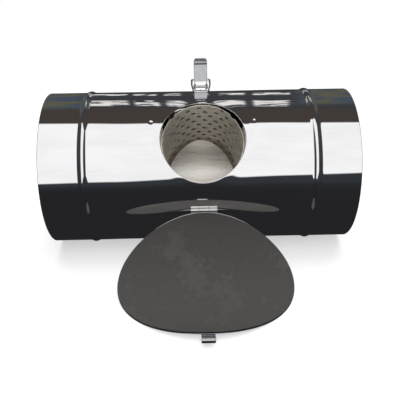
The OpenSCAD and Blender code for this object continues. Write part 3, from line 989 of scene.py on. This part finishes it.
@dataclass
class Flue:
    """The rolled tube with its two stop beads, its opening and the weld down its back."""

    layout: Layout
    finishes: Finishes
    bead_offset: float = 108 * MM
    bead_width: float = 10 * MM
    bead_height: float = 1.4 * MM
    opening: float = 39.5 * MM
    field_half: float = 56 * MM
    flare: float = 0.16 * MM
    flare_width: float = 4.5 * MM
    dimple_x: float = 48 * MM
    dimple_arcs: tuple[float, ...] = (-7.5 * MM, 6 * MM, 17.5 * MM)
    dimple_depth: float = 0.25 * MM
    dimple_width: float = 1.35 * MM
    broad_wave: float = 0.10 * MM
    fine_wave: float = 0.05 * MM
    wave_end: float = 30 * MM
    turns: int = 256
    end_steps: int = 15
    bead_steps: int = 28
    back_steps: int = 130
    field_steps: int = 32
    weld_half_length: float = 98 * MM
    weld_half_width: float = 1.3 * MM
    weld_height: float = 0.25 * MM
    weld_depth: float = 0.05 * MM
    weld_pitch: float = 1.6 * MM

    def lift(self, x: np.ndarray, along: np.ndarray) -> np.ndarray:
        """How far the sheet stands off its plain radius.

        A bead is one period of a raised cosine. Round the opening the sheet is raised by a
        bell curve of the distance from the edge. Six welds each press a small bell-shaped pit.
        Two products of sines give the rolled sheet's slight waviness, the broad one inwards only,
        so that the shut door's lining stays clear of it.

        Args:
            x: Distance from the opening's middle along the flue.
            along: Arc from the opening's axis.

        Returns:
            The lift at each place.
        """
        r = self.layout.radius
        centre = self.layout.length / 2 - self.layout.opening_x
        away = np.abs(np.abs(x - centre) - self.bead_offset) / (self.bead_width / 2)
        bead = np.where(away < 1, self.bead_height * (1 + np.cos(np.pi * away)) / 2, 0)
        short = np.mod(along + np.pi * r, FULL_TURN * r) - np.pi * r
        reach = np.hypot(x, r * np.sin(np.clip(short / r, -1.5, 1.5)))
        flared = self.flare * np.exp(-((reach - self.opening) / self.flare_width) ** 2)
        flared = np.where(np.abs(short) < 1.45 * r, flared, 0)
        pits = np.zeros(np.broadcast(x, along).shape)
        for side in (-1, 1):
            for place in self.dimple_arcs:
                square = (x - side * self.dimple_x) ** 2 + (short - place) ** 2
                pits = pits - self.dimple_depth * np.exp(-square / self.dimple_width ** 2)
        broad = np.sin(x / (34 * MM) + 1.3) * np.sin(3 * short / r + 0.7) - 1
        fine = np.sin(x / (15 * MM)) * np.cos(8 * short / r)
        wave = self.broad_wave * broad + self.fine_wave * fine
        ends = np.clip((self.bead_offset - np.abs(x - centre)) / self.wave_end, 0, 1)
        return bead + flared + pits + wave * ends

    def skin(self, x: np.ndarray, along: np.ndarray, radius: np.ndarray | float) -> np.ndarray:
        """The sheet's surface at a plain radius, with its lift added."""
        x, along, radius = np.broadcast_arrays(x, along, radius)
        return self.layout.rolled(np.stack([x, along, radius + self.lift(x, along)], axis=-1))

    def skin_patch(self, x: np.ndarray, along: np.ndarray, radius: float, round_v: bool) -> Patch:
        """A patch of the sheet, with exact normals from slopes a tenth of a millimetre wide.

        Args:
            x: Distance along the flue at each grid point.
            along: Arc at each grid point.
            radius: The face's plain radius.
            round_v: True where the grid goes all the way round.

        Returns:
            The patch.
        """
        x, along = np.broadcast_arrays(x, along)
        step = 0.1 * MM
        over_x = self.skin(x + step, along, radius) - self.skin(x - step, along, radius)
        over_s = self.skin(x, along + step, radius) - self.skin(x, along - step, radius)
        cross = np.cross(over_x, over_s)
        facing = cross / np.linalg.norm(cross, axis=-1, keepdims=True)
        return Patch(self.skin(x, along, radius), round_v=round_v, facing=facing)

    def shell(self) -> bpy.types.Object:
        """The tube: two faces, each of three blocks and a ring of cells round the opening, whose
        grid lines meet, and a half-round rim at the opening and at both ends."""
        r, half = self.layout.radius, self.field_half
        left, right = -self.layout.opening_x, self.layout.length - self.layout.opening_x
        centre = (left + right) / 2
        edge = self.layout.sheet / 2
        beads = [centre + side * self.bead_offset for side in (-1, 1)]
        reach = self.bead_width / 2
        turn = np.arange(self.turns) * FULL_TURN / self.turns
        eighth = self.turns // 8
        cross = half * np.tan(turn[:eighth + 1])
        cross = np.concatenate([-cross[:0:-1], cross])
        back = np.linspace(half, FULL_TURN * r - half, self.back_steps + 1)
        around = np.concatenate([cross[:-1], back[:-1]])
        left_x = line(left + edge, beads[0] - reach, beads[0] + reach, -half,
                      steps=(self.end_steps, self.bead_steps, self.end_steps + 4))
        right_x = line(half, beads[1] - reach, beads[1] + reach, right - edge,
                       steps=(self.end_steps + 2, self.bead_steps, self.end_steps))
        square = half / np.maximum(np.abs(np.cos(turn)), np.abs(np.sin(turn)))
        share = np.linspace(0, 1, self.field_steps + 1)[:, None]
        patches = []
        for radius in (r, r - self.layout.sheet):
            border_x = (self.opening + edge) * np.cos(turn)
            border_s = r * np.arcsin((self.opening + edge) * np.sin(turn) / radius)
            field_x = (1 - share) * border_x + share * square * np.cos(turn)
            field_s = (1 - share) * border_s + share * square * np.sin(turn)
            patches += [self.skin_patch(left_x[:, None], around[None], radius, True),
                        self.skin_patch(cross[:, None], back[None], radius, False),
                        self.skin_patch(right_x[:, None], around[None], radius, True),
                        self.skin_patch(field_x, field_s, radius, True)]
        bend = np.linspace(0, np.pi, 9)[:, None]
        radius = r - edge + edge * np.cos(bend)
        mouth = self.opening + edge * (1 - np.sin(bend))
        rim_s = r * np.arcsin(mouth * np.sin(turn) / radius)
        patches.append(Patch(self.skin(mouth * np.cos(turn), rim_s, radius), round_v=True))
        for end, sign in ((left, 1), (right, -1)):
            rim_x = end + sign * edge * (1 - np.sin(bend))
            patches.append(Patch(self.skin(rim_x, around[None], radius), round_v=True))
        return make_piece("flue_tube", patches)

    def weld(self) -> bpy.types.Object:
        """The weld down the back: a low crown across, with overlapping ripples along it."""
        r, half = self.layout.radius, self.weld_half_length
        x = np.linspace(-half, half, 420)[:, None]
        across = np.linspace(-1, 1, 9)[None]
        ripple = 0.82 + 0.18 * np.cos(FULL_TURN * (x / self.weld_pitch + 0.35 * across ** 2))
        fade = np.clip((half - np.abs(x)) / (3 * MM), 0, 1)
        crown = self.weld_height * (1 - across ** 2) * ripple * fade
        wander = 0.12 * MM * np.sin(x / (19 * MM))
        middle = self.layout.length / 2 - self.layout.opening_x
        along = np.pi * r + self.weld_half_width * across + wander
        top = np.stack(np.broadcast_arrays(x + middle, along, r + crown), axis=-1)
        foot = top[:, ::-1].copy()
        foot[..., 2] = r - self.weld_depth
        ring = np.concatenate([top, foot], axis=1)
        ends = [ring[k].mean(axis=0, keepdims=True)[None] + 0 * ring[k][None] for k in (0, -1)]
        patch = Patch(self.layout.rolled(np.concatenate([ends[0], ring, ends[1]])), round_v=True)
        return make_piece("seam_bead", [patch])

    def build(self) -> None:
        """Makes the tube and the weld and ties them to the flue."""
        fit_out(self.shell(), Body.FLUE, "polished_sheet", self.finishes, "flue_shell")
        fit_out(self.weld(), Body.FLUE, "weld", self.finishes, "seam_weld")


@dataclass
class Basket:
    """The perforated basket, its curved end and the tabs that hold it."""

    finishes: Finishes

    def build(self) -> None:
        """Keeps the CAD shapes, whose holes are true bores, and gives each its finish."""
        keep_node("basket_wall", "perforated_sheet", self.finishes)
        keep_node("basket_end_cap", "plain_sheet", self.finishes)
        for side in ("left", "right"):
            keep_node("basket_tab_" + side, "tab_sheet", self.finishes)


@dataclass
class Door:
    """The oval door: a polished panel, its lining and the catch that the latch pulls on."""

    layout: Layout
    finishes: Finishes
    half_length: float = 81 * MM
    edge_angle: float = 50.2
    lining_low: float = 76.3 * MM
    panel_low: float = 77.9 * MM
    panel_high: float = 78.7 * MM
    lining_inset: float = 0.3 * MM
    leaf: float = 0.8 * MM
    foot_half: float = 9 * MM
    foot_arcs: tuple[float, float] = (51 * MM, 62 * MM)
    hook_arc: float = 72 * MM
    hook_half: float = 5.75 * MM
    hook_bend: float = 1.9 * MM
    rivet_x: tuple[float, ...] = (-5.5 * MM, 5.5 * MM)
    rivet_arc: float = 56 * MM

    def over_flue(self, local: np.ndarray) -> np.ndarray:
        """Drops (x, y, radius) along the opening's axis onto the cylinder of that radius."""
        x, y, radius = np.moveaxis(local, -1, 0)
        return self.layout.at_opening(np.stack([x, y, np.sqrt(radius ** 2 - y ** 2)], axis=-1))

    def oval(self, low: float, high: float, gap: float, edge: float) -> Patch:
        """A rolled sheet whose outline, seen along the opening's axis, is an ellipse.

        Args:
            low: Radius of the inner face.
            high: Radius of the outer face.
            gap: How far the outline stops short of the door's.
            edge: Radius of the sheet's edge.

        Returns:
            The closed patch.
        """
        turn = np.linspace(0, FULL_TURN, 200, endpoint=False)
        width = (low + high) / 2 * math.sin(math.radians(self.edge_angle)) - gap
        outline = np.stack([(self.half_length - gap) * np.cos(turn), width * np.sin(turn)], axis=1)
        return sheet(outline, low, high, edge, self.layout.opened(self.over_flue), 30)

    def catch(self) -> bpy.types.Object:
        """The catch: a riveted foot, a narrower neck, and an end bent back into a hook."""
        rolled = self.layout.opened(self.layout.rolled)
        low, high = self.panel_high, self.panel_high + self.leaf
        foot = sheet(rounded_outline(self.foot_half, *self.foot_arcs, 1.6 * MM), low, high,
                     0.25 * MM, rolled, 6)
        neck = sheet(rounded_outline(self.hook_half, self.foot_arcs[1] - 2 * MM, self.hook_arc,
                                     0.1 * MM), low + 0.01 * MM, high - 0.01 * MM, 0.2 * MM, rolled, 6)
        at_hook = self.layout.opened(self.layout.standing(0, self.hook_arc, high + self.hook_bend))
        bend = arc((0, 0), self.hook_bend + self.leaf / 2, -92, 105, 24)
        hook = strip(bend, self.hook_half, self.leaf, at_hook)
        return make_piece("catch_hook", [foot, neck] + hook)

    def build(self) -> None:
        """Makes the panel, the lining, the catch and the catch's rivets."""
        panel = make_piece("door_sheet", [self.oval(self.panel_low, self.panel_high, 0, 0.38 * MM)])
        fit_out(panel, Body.DOOR, "polished_sheet", self.finishes, "door_panel")
        lining = make_piece("door_liner", [self.oval(self.lining_low, self.panel_low,
                                                     self.lining_inset, 0.35 * MM)])
        fit_out(lining, Body.DOOR, "lining", self.finishes, "door_lining")
        fit_out(self.catch(), Body.DOOR, "latch_steel", self.finishes, "catch_plate")
        rivets = Rivets(head_height=0.6 * MM)
        heads = []
        for x in self.rivet_x:
            place = self.layout.opened(self.layout.standing(x, self.rivet_arc, self.panel_high))
            heads += rivets.one(place, -0.75 * MM, self.leaf)
        fit_out(make_piece("catch_rivet_pair", heads), Body.DOOR, "rivet_steel", self.finishes,
                "catch_rivets")


@dataclass
class Hinge:
    """A three-knuckle hinge between the flue and the door."""

    layout: Layout
    finishes: Finishes
    length: float = 24.8 * MM
    leaf: float = 0.8 * MM
    reach: float = 9 * MM
    start: float = 2.0 * MM
    barrel: float = 1.6 * MM
    knuckle_gap: float = 0.15 * MM
    pin: float = 0.8 * MM
    door_radius: float = 78.7 * MM
    rivet_x: tuple[float, ...] = (-8.5 * MM, 0.0, 8.5 * MM)
    rivet_along: float = 6 * MM

    def __post_init__(self) -> None:
        """Works out the barrel's arc and radius, and a knuckle's length."""
        self.arc = -math.radians(self.layout.hinge_angle) * self.layout.radius
        self.radius = self.door_radius + self.leaf - self.barrel
        self.knuckle = self.length / 3

    def knuckles(self, spans: Sequence[tuple[float, float]], place: Placing) -> list[Patch]:
        """Round knuckles with eased ends, along X.

        Args:
            spans: First and last X of each knuckle.
            place: A frame at the barrel's axis.

        Returns:
            A closed patch for each knuckle.
        """
        ease = 0.18 * MM
        made = []
        for low, high in spans:
            profile = np.vstack([[(0, low), (self.barrel - ease, low)],
                                 arc((self.barrel - ease, low + ease), ease, -90, 0, 4),
                                 arc((self.barrel - ease, high - ease), ease, 0, 90, 4),
                                 [(0, high)]])
            made.append(revolved(profile, sideways(place), 32))
        return made

    def leaf_sheets(self, base: float, sign: float, tongues: Sequence[tuple[float, float]],
                    turned: Callable[[Placing], Placing]) -> list[Patch]:
        """A leaf and the tongues that run from it under or over the barrel.

        Args:
            base: Radius of the surface that the leaf lies on.
            sign: -1 where the leaf runs away from the door, 1 where it runs towards it.
            tongues: First and last X of each tongue.
            turned: Opens the shape with the door, or leaves it.

        Returns:
            The closed patches.
        """
        rolled = turned(self.layout.rolled)
        ends = sorted((self.arc + sign * self.start, self.arc + sign * self.reach))
        half = self.length / 2 - 0.1 * MM
        made = [sheet(rounded_outline(half, ends[0], ends[1], 0.9 * MM), base, base + self.leaf,
                      0.22 * MM, rolled, 6)]
        thin = 0.015 * MM
        for low, high in tongues:
            middle, wide = (low + high) / 2, (high - low) / 2 - 0.05 * MM
            inner = sorted((self.arc + sign * 0.2 * MM, self.arc + sign * (self.start + 1.5 * MM)))
            outline = rounded_outline(wide, inner[0], inner[1], 0.12 * MM, 3) + (middle, 0)
            made.append(sheet(outline, base + thin, base + self.leaf - thin, 0.2 * MM, rolled, 5))
        return made

    def build(self) -> None:
        """Makes both leaves, the pin and the rivets."""
        half, inner = self.length / 2, self.knuckle / 2
        outer = inner + self.knuckle_gap
        at_barrel = self.layout.standing(0, self.arc, self.radius)
        fixed = [(-half, -outer), (outer, half)]
        flue_leaf = (self.leaf_sheets(self.layout.radius, -1, fixed, lambda place: place)
                     + self.knuckles(fixed, at_barrel))
        fit_out(make_piece("hinge_fixed_leaf", flue_leaf), Body.FLUE, "hinge_steel", self.finishes,
                "hinge_flue_leaf")
        swinging = [(-inner, inner)]
        door_leaf = (self.leaf_sheets(self.door_radius, 1, swinging, self.layout.opened)
                     + self.knuckles(swinging, self.layout.opened(at_barrel)))
        fit_out(make_piece("hinge_swinging_leaf", door_leaf), Body.DOOR, "hinge_steel",
                self.finishes, "hinge_door_leaf")
        head, tall = self.pin + 0.4 * MM, 0.5 * MM
        profile = np.vstack([[(0, -half - tall), (head * 0.8, -half - tall)],
                             [(head, -half - tall * 0.7), (head, -half), (self.pin, -half)],
                             [(self.pin, half), (head, half), (head, half + tall * 0.7)],
                             [(head * 0.8, half + tall), (0, half + tall)]])
        fit_out(make_piece("hinge_pin_turned", [revolved(profile, sideways(at_barrel), 24)]),
                Body.FLUE, "pin_steel", self.finishes, "hinge_pin")
        self._rivet_rows()

    def _rivet_rows(self) -> None:
        """Makes the row of rivets in each leaf."""
        flue_row, door_row = [], []
        through = Rivets(tail=1.7 * MM)
        short = Rivets(head_height=0.6 * MM)
        for x in self.rivet_x:
            place = self.layout.standing(x, self.arc - self.rivet_along, self.layout.radius)
            flue_row += through.one(place, -self.layout.sheet, self.leaf)
            place = self.layout.standing(x, self.arc + self.rivet_along, self.door_radius)
            door_row += short.one(self.layout.opened(place), -0.75 * MM, self.leaf)
        fit_out(make_piece("hinge_rivets_on_flue", flue_row), Body.FLUE, "rivet_steel",
                self.finishes, "hinge_flue_rivets")
        fit_out(make_piece("hinge_rivets_on_door", door_row), Body.DOOR, "rivet_steel",
                self.finishes, "hinge_door_rivets")


@dataclass
class Latch:
    """The toggle latch: a riveted base with two ears, a lever on a pin, and a wire bail."""

    layout: Layout
    finishes: Finishes
    sheet: float = 0.9 * MM
    base_half: float = 6.8 * MM
    base_front: float = 11 * MM
    base_back: float = 13 * MM
    rivet_arcs: tuple[float, ...] = (-7.6 * MM, 9.2 * MM)
    ear: float = 2.8 * MM
    ear_foot: float = 4.6 * MM
    width: float = 13.4 * MM
    face: float = 3.05 * MM
    flange_end: float = 22 * MM
    tip_corner: float = 4 * MM
    tip_top: float = 28.2 * MM
    pin: float = 1.25 * MM
    wire_radius: float = 0.9 * MM
    bail_arm: float = 7 * MM
    bail_side: float = 9.1 * MM
    bail_nose: float = 7.3 * MM
    bail_length: float = 19.84 * MM
    bail_shoulder: float = 0.45
    bail_drop: float = 53.76
    inner_end: float = 5 * MM

    def base(self) -> bpy.types.Object:
        """The base plate with its two ears."""
        middle = math.radians(self.layout.latch_angle) * self.layout.radius
        low = self.layout.radius
        plate = sheet(rounded_outline(self.base_half, middle - self.base_front,
                                      middle + self.base_back, 1.8 * MM),
                      low, low + self.sheet, 0.25 * MM, self.layout.rolled, 6)
        foot = 0.5 * MM - self.layout.pivot_rise
        rough = np.vstack([[(-self.ear_foot, foot), (self.ear_foot, foot)],
                           arc((0, 0), self.ear, 0, 180, 16)])
        ear_x = self.width / 2 - self.sheet - 0.2 * MM
        ears = [sheet(spread(rough, 60), min(side * ear_x, side * (ear_x - self.sheet)),
                      max(side * ear_x, side * (ear_x - self.sheet)), 0.22 * MM,
                      sideways(self.layout.at_latch), 6) for side in (-1, 1)]
        return make_piece("latch_footplate", [plate] + ears)

    def lever(self) -> bpy.types.Object:
        """The lever: a web that curls back at its round tip, between two tapering flanges."""
        out = -self.face / MM
        bends = [(out, 5), (out, 9), (out, 14), (out, 18.5), (out + 0.35, 20), (out + 0.5, 21.5),
                 (out + 0.1, 23.2), (out - 1, 25), (out - 2.5, 26.6), (out - 4.2, 27.7)]
        path = smooth_path(np.array(bends) * MM, 7)
        above = np.clip(path[:, 1] - (self.tip_top - self.tip_corner), 0, self.tip_corner * 0.98)
        half = self.width / 2 - self.tip_corner + np.sqrt(self.tip_corner ** 2 - above ** 2)
        web = strip(path, half, self.sheet, self.layout.at_latch)
        edge = -self.face - self.sheet / 2
        rough = np.vstack([arc((0, 0), 2.6 * MM, 180, 360, 16), [(2.4 * MM, 9 * MM)],
                           arc((-0.9 * MM, self.flange_end - 1.1 * MM), 1.1 * MM, 20, 90, 5),
                           [(edge, self.flange_end), (edge, 3 * MM)]])
        outer = self.width / 2 - 0.02 * MM
        flanges = [sheet(spread(rough, 90), *sorted((side * outer, side * (outer - self.sheet))),
                         0.3 * MM, sideways(self.layout.at_latch), 8) for side in (-1, 1)]
        return make_piece("latch_lever_pressed", web + flanges)

    def bail(self) -> bpy.types.Object:
        """The bail: one wire bent into a loop, its ends turned in through the lever."""
        side, nose, length = self.bail_side, self.bail_nose, self.bail_length
        bend = -self.bail_shoulder * length
        half = [(self.inner_end, 0, 0), (side, 0, 0), (side, 0, bend), (nose, 0, -length)]
        corners = np.array(half + [(-x, y, z) for x, y, z in half[::-1]])
        path = rounded_path(corners, 1.5 * MM)
        place = bent(self.layout.at_latch, -self.bail_drop, self.bail_arm)
        loop = wire(path, self.wire_radius, np.array([0.0, 1.0, 0.0]), place)
        return make_piece("latch_bail_wire", [loop])

    def pivot(self) -> bpy.types.Object:
        """The lever's pivot pin: a plain shank between two upset heads."""
        half, tall, head = self.width / 2 + 0.05 * MM, 0.6 * MM, 2 * MM
        right = np.array([(self.pin, half), (head * 0.97, half), (head, half + 0.1 * MM),
                          (head, half + tall * 0.6), (head * 0.85, half + tall * 0.93),
                          (head * 0.5, half + tall), (0, half + tall)])
        left = right[::-1] * (1, -1)
        spin = revolved(np.vstack([left, right]), sideways(self.layout.at_latch), 28)
        return make_piece("latch_pivot_turned", [spin])

    def build(self) -> None:
        """Makes the base and its rivets, the pin, the lever and the bail."""
        fit_out(self.base(), Body.FLUE, "latch_steel", self.finishes, "latch_base")
        heads = []
        middle = math.radians(self.layout.latch_angle) * self.layout.radius
        through = Rivets(tail=1.7 * MM)
        for arc_from_pivot in self.rivet_arcs:
            place = self.layout.standing(0, middle + arc_from_pivot, self.layout.radius)
            heads += through.one(place, -self.layout.sheet, self.sheet)
        fit_out(make_piece("latch_base_rivet_pair", heads), Body.FLUE, "rivet_steel",
                self.finishes, "latch_base_rivets")
        fit_out(self.pivot(), Body.FLUE, "pin_steel", self.finishes, "latch_pivot_pin")
        fit_out(self.lever(), Body.LEVER, "latch_steel", self.finishes, "latch_lever")
        fit_out(self.bail(), Body.BAIL, "wire_steel", self.finishes, "latch_bail")


# ---------------------------------------------------------------------------
# Studio
# ---------------------------------------------------------------------------


@dataclass(frozen=True)
class Lamp:
    """A soft square lamp, which the polished steel doesn't mirror."""

    name: str
    place: tuple[float, float, float]
    size: float
    power: float

    def light(self, aim: tuple[float, float, float]) -> None:
        """Hangs the lamp and points it at a place."""
        data = bpy.data.lights.new(self.name, "AREA")
        data.size = self.size
        data.energy = self.power
        lamp = bpy.data.objects.new(self.name, data)
        lamp.location = self.place
        towards = Vector(aim) - Vector(self.place)
        lamp.rotation_euler = towards.to_track_quat("-Z", "Y").to_euler()
        lamp.visible_glossy = False
        bpy.context.scene.collection.objects.link(lamp)


@dataclass(frozen=True)
class Heading:
    """A direction out into the surroundings, as sockets of the world's shader.

    The turn about X is 0 degrees at the front horizon, 90 overhead and 180 at the back horizon.
    Slanted is the turn with a share of the direction's X added.
    """

    whole: bpy.types.NodeSocket
    side: bpy.types.NodeSocket
    turn: bpy.types.NodeSocket
    slanted: bpy.types.NodeSocket


@dataclass(frozen=True)
class Surroundings:
    """What the polished steel mirrors: a dark room, a large white box that fills a span of turns
    from the front horizon to overhead, and broken rows of ceiling lamps behind it."""

    box_turns: tuple[float, float] = (2.5, 88.5)
    box_slant: float = 14.0
    box_border: float = 1.2
    box_reach: float = 0.47
    box_dimmest: float = 0.93
    row_slant: float = 26.0
    beam_turns: tuple[float, float] = (80.0, 118.0)
    lamp_rows: tuple[tuple[float, float], ...] = ((124.0, 139.0), (158.0, 168.0))
    lamp_strips: tuple[tuple[float, float], ...] = (
        (-0.168, -0.110), (-0.098, -0.058), (-0.044, -0.018), (0.012, 0.030), (0.050, 0.096),
        (0.112, 0.168))
    lamp_strength: float = 0.85

    def heading(self, tree: Tree) -> Heading:
        """Adds the nodes that work a direction out."""
        whole = tree.add("ShaderNodeTexCoord").outputs["Generated"]
        parts = tree.add("ShaderNodeSeparateXYZ", {0: whole}).outputs
        angle = tree.math("ARCTAN2", parts["Z"], tree.math("MULTIPLY", parts["Y"], -1.0))
        turn = tree.math("MULTIPLY", angle, 180 / math.pi)
        slant = tree.math("MULTIPLY", parts["X"], self.row_slant)
        return Heading(whole, parts["X"], turn, tree.math("ADD", turn, slant))

    def room(self, tree: Tree, to: Heading) -> bpy.types.NodeSocket:
        """The dark room: cold in front, near black below, and a brown beam overhead."""
        behind = tree.mix(tree.band(to.slanted, *self.beam_turns, 2.0),
                          (0.045, 0.047, 0.052, 1), (0.057, 0.048, 0.043, 1))
        below = tree.mix(tree.ramp(to.turn, -6.0, -45.0), (0.032, 0.036, 0.043, 1),
                         (0.022, 0.022, 0.025, 1))
        return tree.mix(tree.ramp(to.turn, 20.0, 40.0), below, behind)

    def lamps(self, tree: Tree, to: Heading) -> bpy.types.NodeSocket:
        """How strongly the ceiling lamps show: where strips cross rows, broken up by noise."""
        strips, rows = 0.0, 0.0
        for low, high in self.lamp_strips:
            strips = tree.math("ADD", strips, tree.band(to.side, low, high, 0.004))
        for low, high in self.lamp_rows:
            rows = tree.math("ADD", rows, tree.band(to.slanted, low, high, 1.5))
        noise = tree.noise(tree.stretch(to.whole, (30.0, 20.0, 20.0)), 1.0, 1.0)
        broken = tree.ramp(noise, 0.44, 0.50, 0.0, self.lamp_strength)
        return tree.math("MULTIPLY", tree.math("MULTIPLY", strips, rows), broken)

    def far_ends(self, tree: Tree, to: Heading, room: bpy.types.NodeSocket) -> bpy.types.NodeSocket:
        """Adds the room's far ends, in muted blue and ochre."""
        noise = tree.noise(tree.stretch(to.whole, (14.0, 5.0, 5.0)), 1.0, 2.0)
        muted = tree.mix(tree.ramp(noise, 0.4, 0.6),
                         (0.060, 0.078, 0.110, 1), (0.105, 0.102, 0.072, 1))
        away = tree.ramp(tree.math("ABSOLUTE", to.side), 0.17, 0.20)
        share = tree.math("MULTIPLY", tree.ramp(to.turn, 118.0, 128.0), away)
        return tree.mix(share, room, muted)

    def with_box(self, tree: Tree, to: Heading, room: bpy.types.NodeSocket) -> bpy.types.NodeSocket:
        """Adds the white box, whose borders slope along X and whose cloth is a little uneven."""
        slope = tree.math("MULTIPLY", to.side, self.box_slant)
        lower = tree.math("ADD", self.box_turns[0], slope)
        upper = tree.math("SUBTRACT", self.box_turns[1], slope)
        inside = tree.math("MULTIPLY", tree.band(to.turn, lower, upper, self.box_border),
                           tree.band(to.side, -self.box_reach, self.box_reach, 0.05))
        noise = tree.noise(tree.stretch(to.whole, (9.0, 2.5, 2.5)), 1.0, 3.0)
        white = tree.mix(tree.ramp(noise, 0.3, 0.7), grey(self.box_dimmest), grey(1.0))
        return tree.mix(inside, room, white)

    def build(self) -> None:
        """Makes the world. The camera itself sees plain white."""
        world = bpy.data.worlds.new("studio")
        world.use_nodes = True
        world.node_tree.nodes.clear()
        bpy.context.scene.world = world
        tree = Tree(world.node_tree)
        to = self.heading(tree)
        room = tree.mix(self.lamps(tree, to), self.room(tree, to), (0.95, 0.93, 0.90, 1))
        mirrored = self.with_box(tree, to, self.far_ends(tree, to, room))
        camera_ray = tree.add("ShaderNodeLightPath").outputs["Is Camera Ray"]
        shown = tree.add("ShaderNodeBackground", {
            "Color": tree.mix(camera_ray, mirrored, grey(1.0)), "Strength": 1.0})
        tree.add("ShaderNodeOutputWorld", {"Surface": shown.outputs[0]})


@dataclass(frozen=True)
class Floor:
    """A plain pale floor, which the polished steel sees as a dark one."""

    half: float = 4.0
    cells: int = 8
    glow: float = 0.55
    near_glow: float = 0.18
    far_glow: float = 0.9

    def material(self) -> bpy.types.Material:
        """Pale with soft shadows for the camera, fading into white, and dark for a mirror."""
        made, tree = new_material("pale_floor")
        place = tree.add("ShaderNodeTexCoord").outputs["Object"]
        path = tree.add("ShaderNodeLightPath").outputs
        away = tree.add("ShaderNodeVectorMath", {0: place}, operation="LENGTH").outputs["Value"]
        tone = tree.mix(tree.noise(place, 3.0), grey(0.84), grey(0.88))
        pale = tree.add("ShaderNodeBsdfPrincipled", {"Base Color": tone, "Roughness": 0.75})
        white = tree.add("ShaderNodeEmission", {"Color": grey(1.0), "Strength": 1.0})
        share = tree.math("MULTIPLY", tree.ramp(away, self.near_glow, self.far_glow, self.glow, 1.0),
                          path["Is Camera Ray"])
        seen = tree.add("ShaderNodeMixShader", {0: share, 1: pale.outputs[0], 2: white.outputs[0]})
        shade = tree.mix(tree.ramp(away, 0.25, 1.3), (0.018, 0.018, 0.020, 1),
                         (0.032, 0.036, 0.043, 1))
        dark = tree.add("ShaderNodeEmission", {"Color": shade, "Strength": 1.0})
        both = tree.add("ShaderNodeMixShader", {0: path["Is Glossy Ray"], 1: seen.outputs[0],
                                                2: dark.outputs[0]})
        tree.add("ShaderNodeOutputMaterial", {"Surface": both.outputs[0]})
        return made

    def build(self) -> None:
        """Lays the floor under the model's lowest point."""
        grid = np.linspace(-self.half, self.half, self.cells + 1)
        x, y = np.meshgrid(grid, grid, indexing="ij")
        patch = Patch(np.stack([x, y, np.full_like(x, CAD_BOX[0][2])], axis=-1))
        mesh = bpy.data.meshes.new("floor")
        mesh.from_pydata(patch.points.reshape(-1, 3).tolist(), [], patch.quads().tolist())
        mesh.materials.append(self.material())
        floor = bpy.data.objects.new("floor", mesh)
        bpy.context.scene.collection.objects.link(floor)


@dataclass
class Studio:
    """The camera, the surroundings that the polished steel mirrors, the floor and the lamps."""

    camera_place: tuple[float, float, float] = (0.14113, -0.54088, 0.23138)
    azimuth: float = 0.876
    tilt: float = -26.76
    roll: float = 0.764
    lens: float = 50.4
    aim: tuple[float, float, float] = (0.15, 0.0, 0.0)
    lamps: tuple[Lamp, ...] = (Lamp("front_lamp", (0.15, -1.10, 1.15), 0.9, 14.0),
                               Lamp("top_lamp", (0.35, 0.40, 1.90), 2.4, 75.0))

    def camera(self) -> None:
        """The camera: turned by azimuth and tilt, then rolled about its own line of sight."""
        data = bpy.data.cameras.new("camera")
        data.lens = self.lens
        data.sensor_width = 36.0
        data.clip_start = 0.01
        camera = bpy.data.objects.new("camera", data)
        turn, tilt = math.radians(self.azimuth), math.radians(self.tilt)
        forward = Vector((math.sin(turn) * math.cos(tilt), math.cos(turn) * math.cos(tilt),
                          math.sin(tilt)))
        level = Vector((math.cos(turn), -math.sin(turn), 0.0))
        right = Matrix.Rotation(math.radians(self.roll), 3, forward) @ level
        up = right.cross(forward)
        axes = Matrix((right, up, -forward)).transposed()
        camera.matrix_world = Matrix.Translation(self.camera_place) @ axes.to_4x4()
        bpy.context.scene.collection.objects.link(camera)
        bpy.context.scene.camera = camera

    def build(self) -> None:
        """Sets the whole studio up."""
        self.camera()
        Surroundings().build()
        Floor().build()
        for lamp in self.lamps:
            lamp.light(self.aim)
        bpy.context.scene.view_settings.view_transform = "Standard"


def main() -> None:
    """Builds the studio and the sub-assemblies in order."""
    logging.basicConfig(level=logging.INFO, format="%(name)s %(message)s")
    Studio().build()
    layout = Layout()
    finishes = Finishes(layout)
    Flue(layout, finishes).build()
    Basket(finishes).build()
    Door(layout, finishes).build()
    Hinge(layout, finishes).build()
    Latch(layout, finishes).build()


if __name__ == "__main__":
    main()
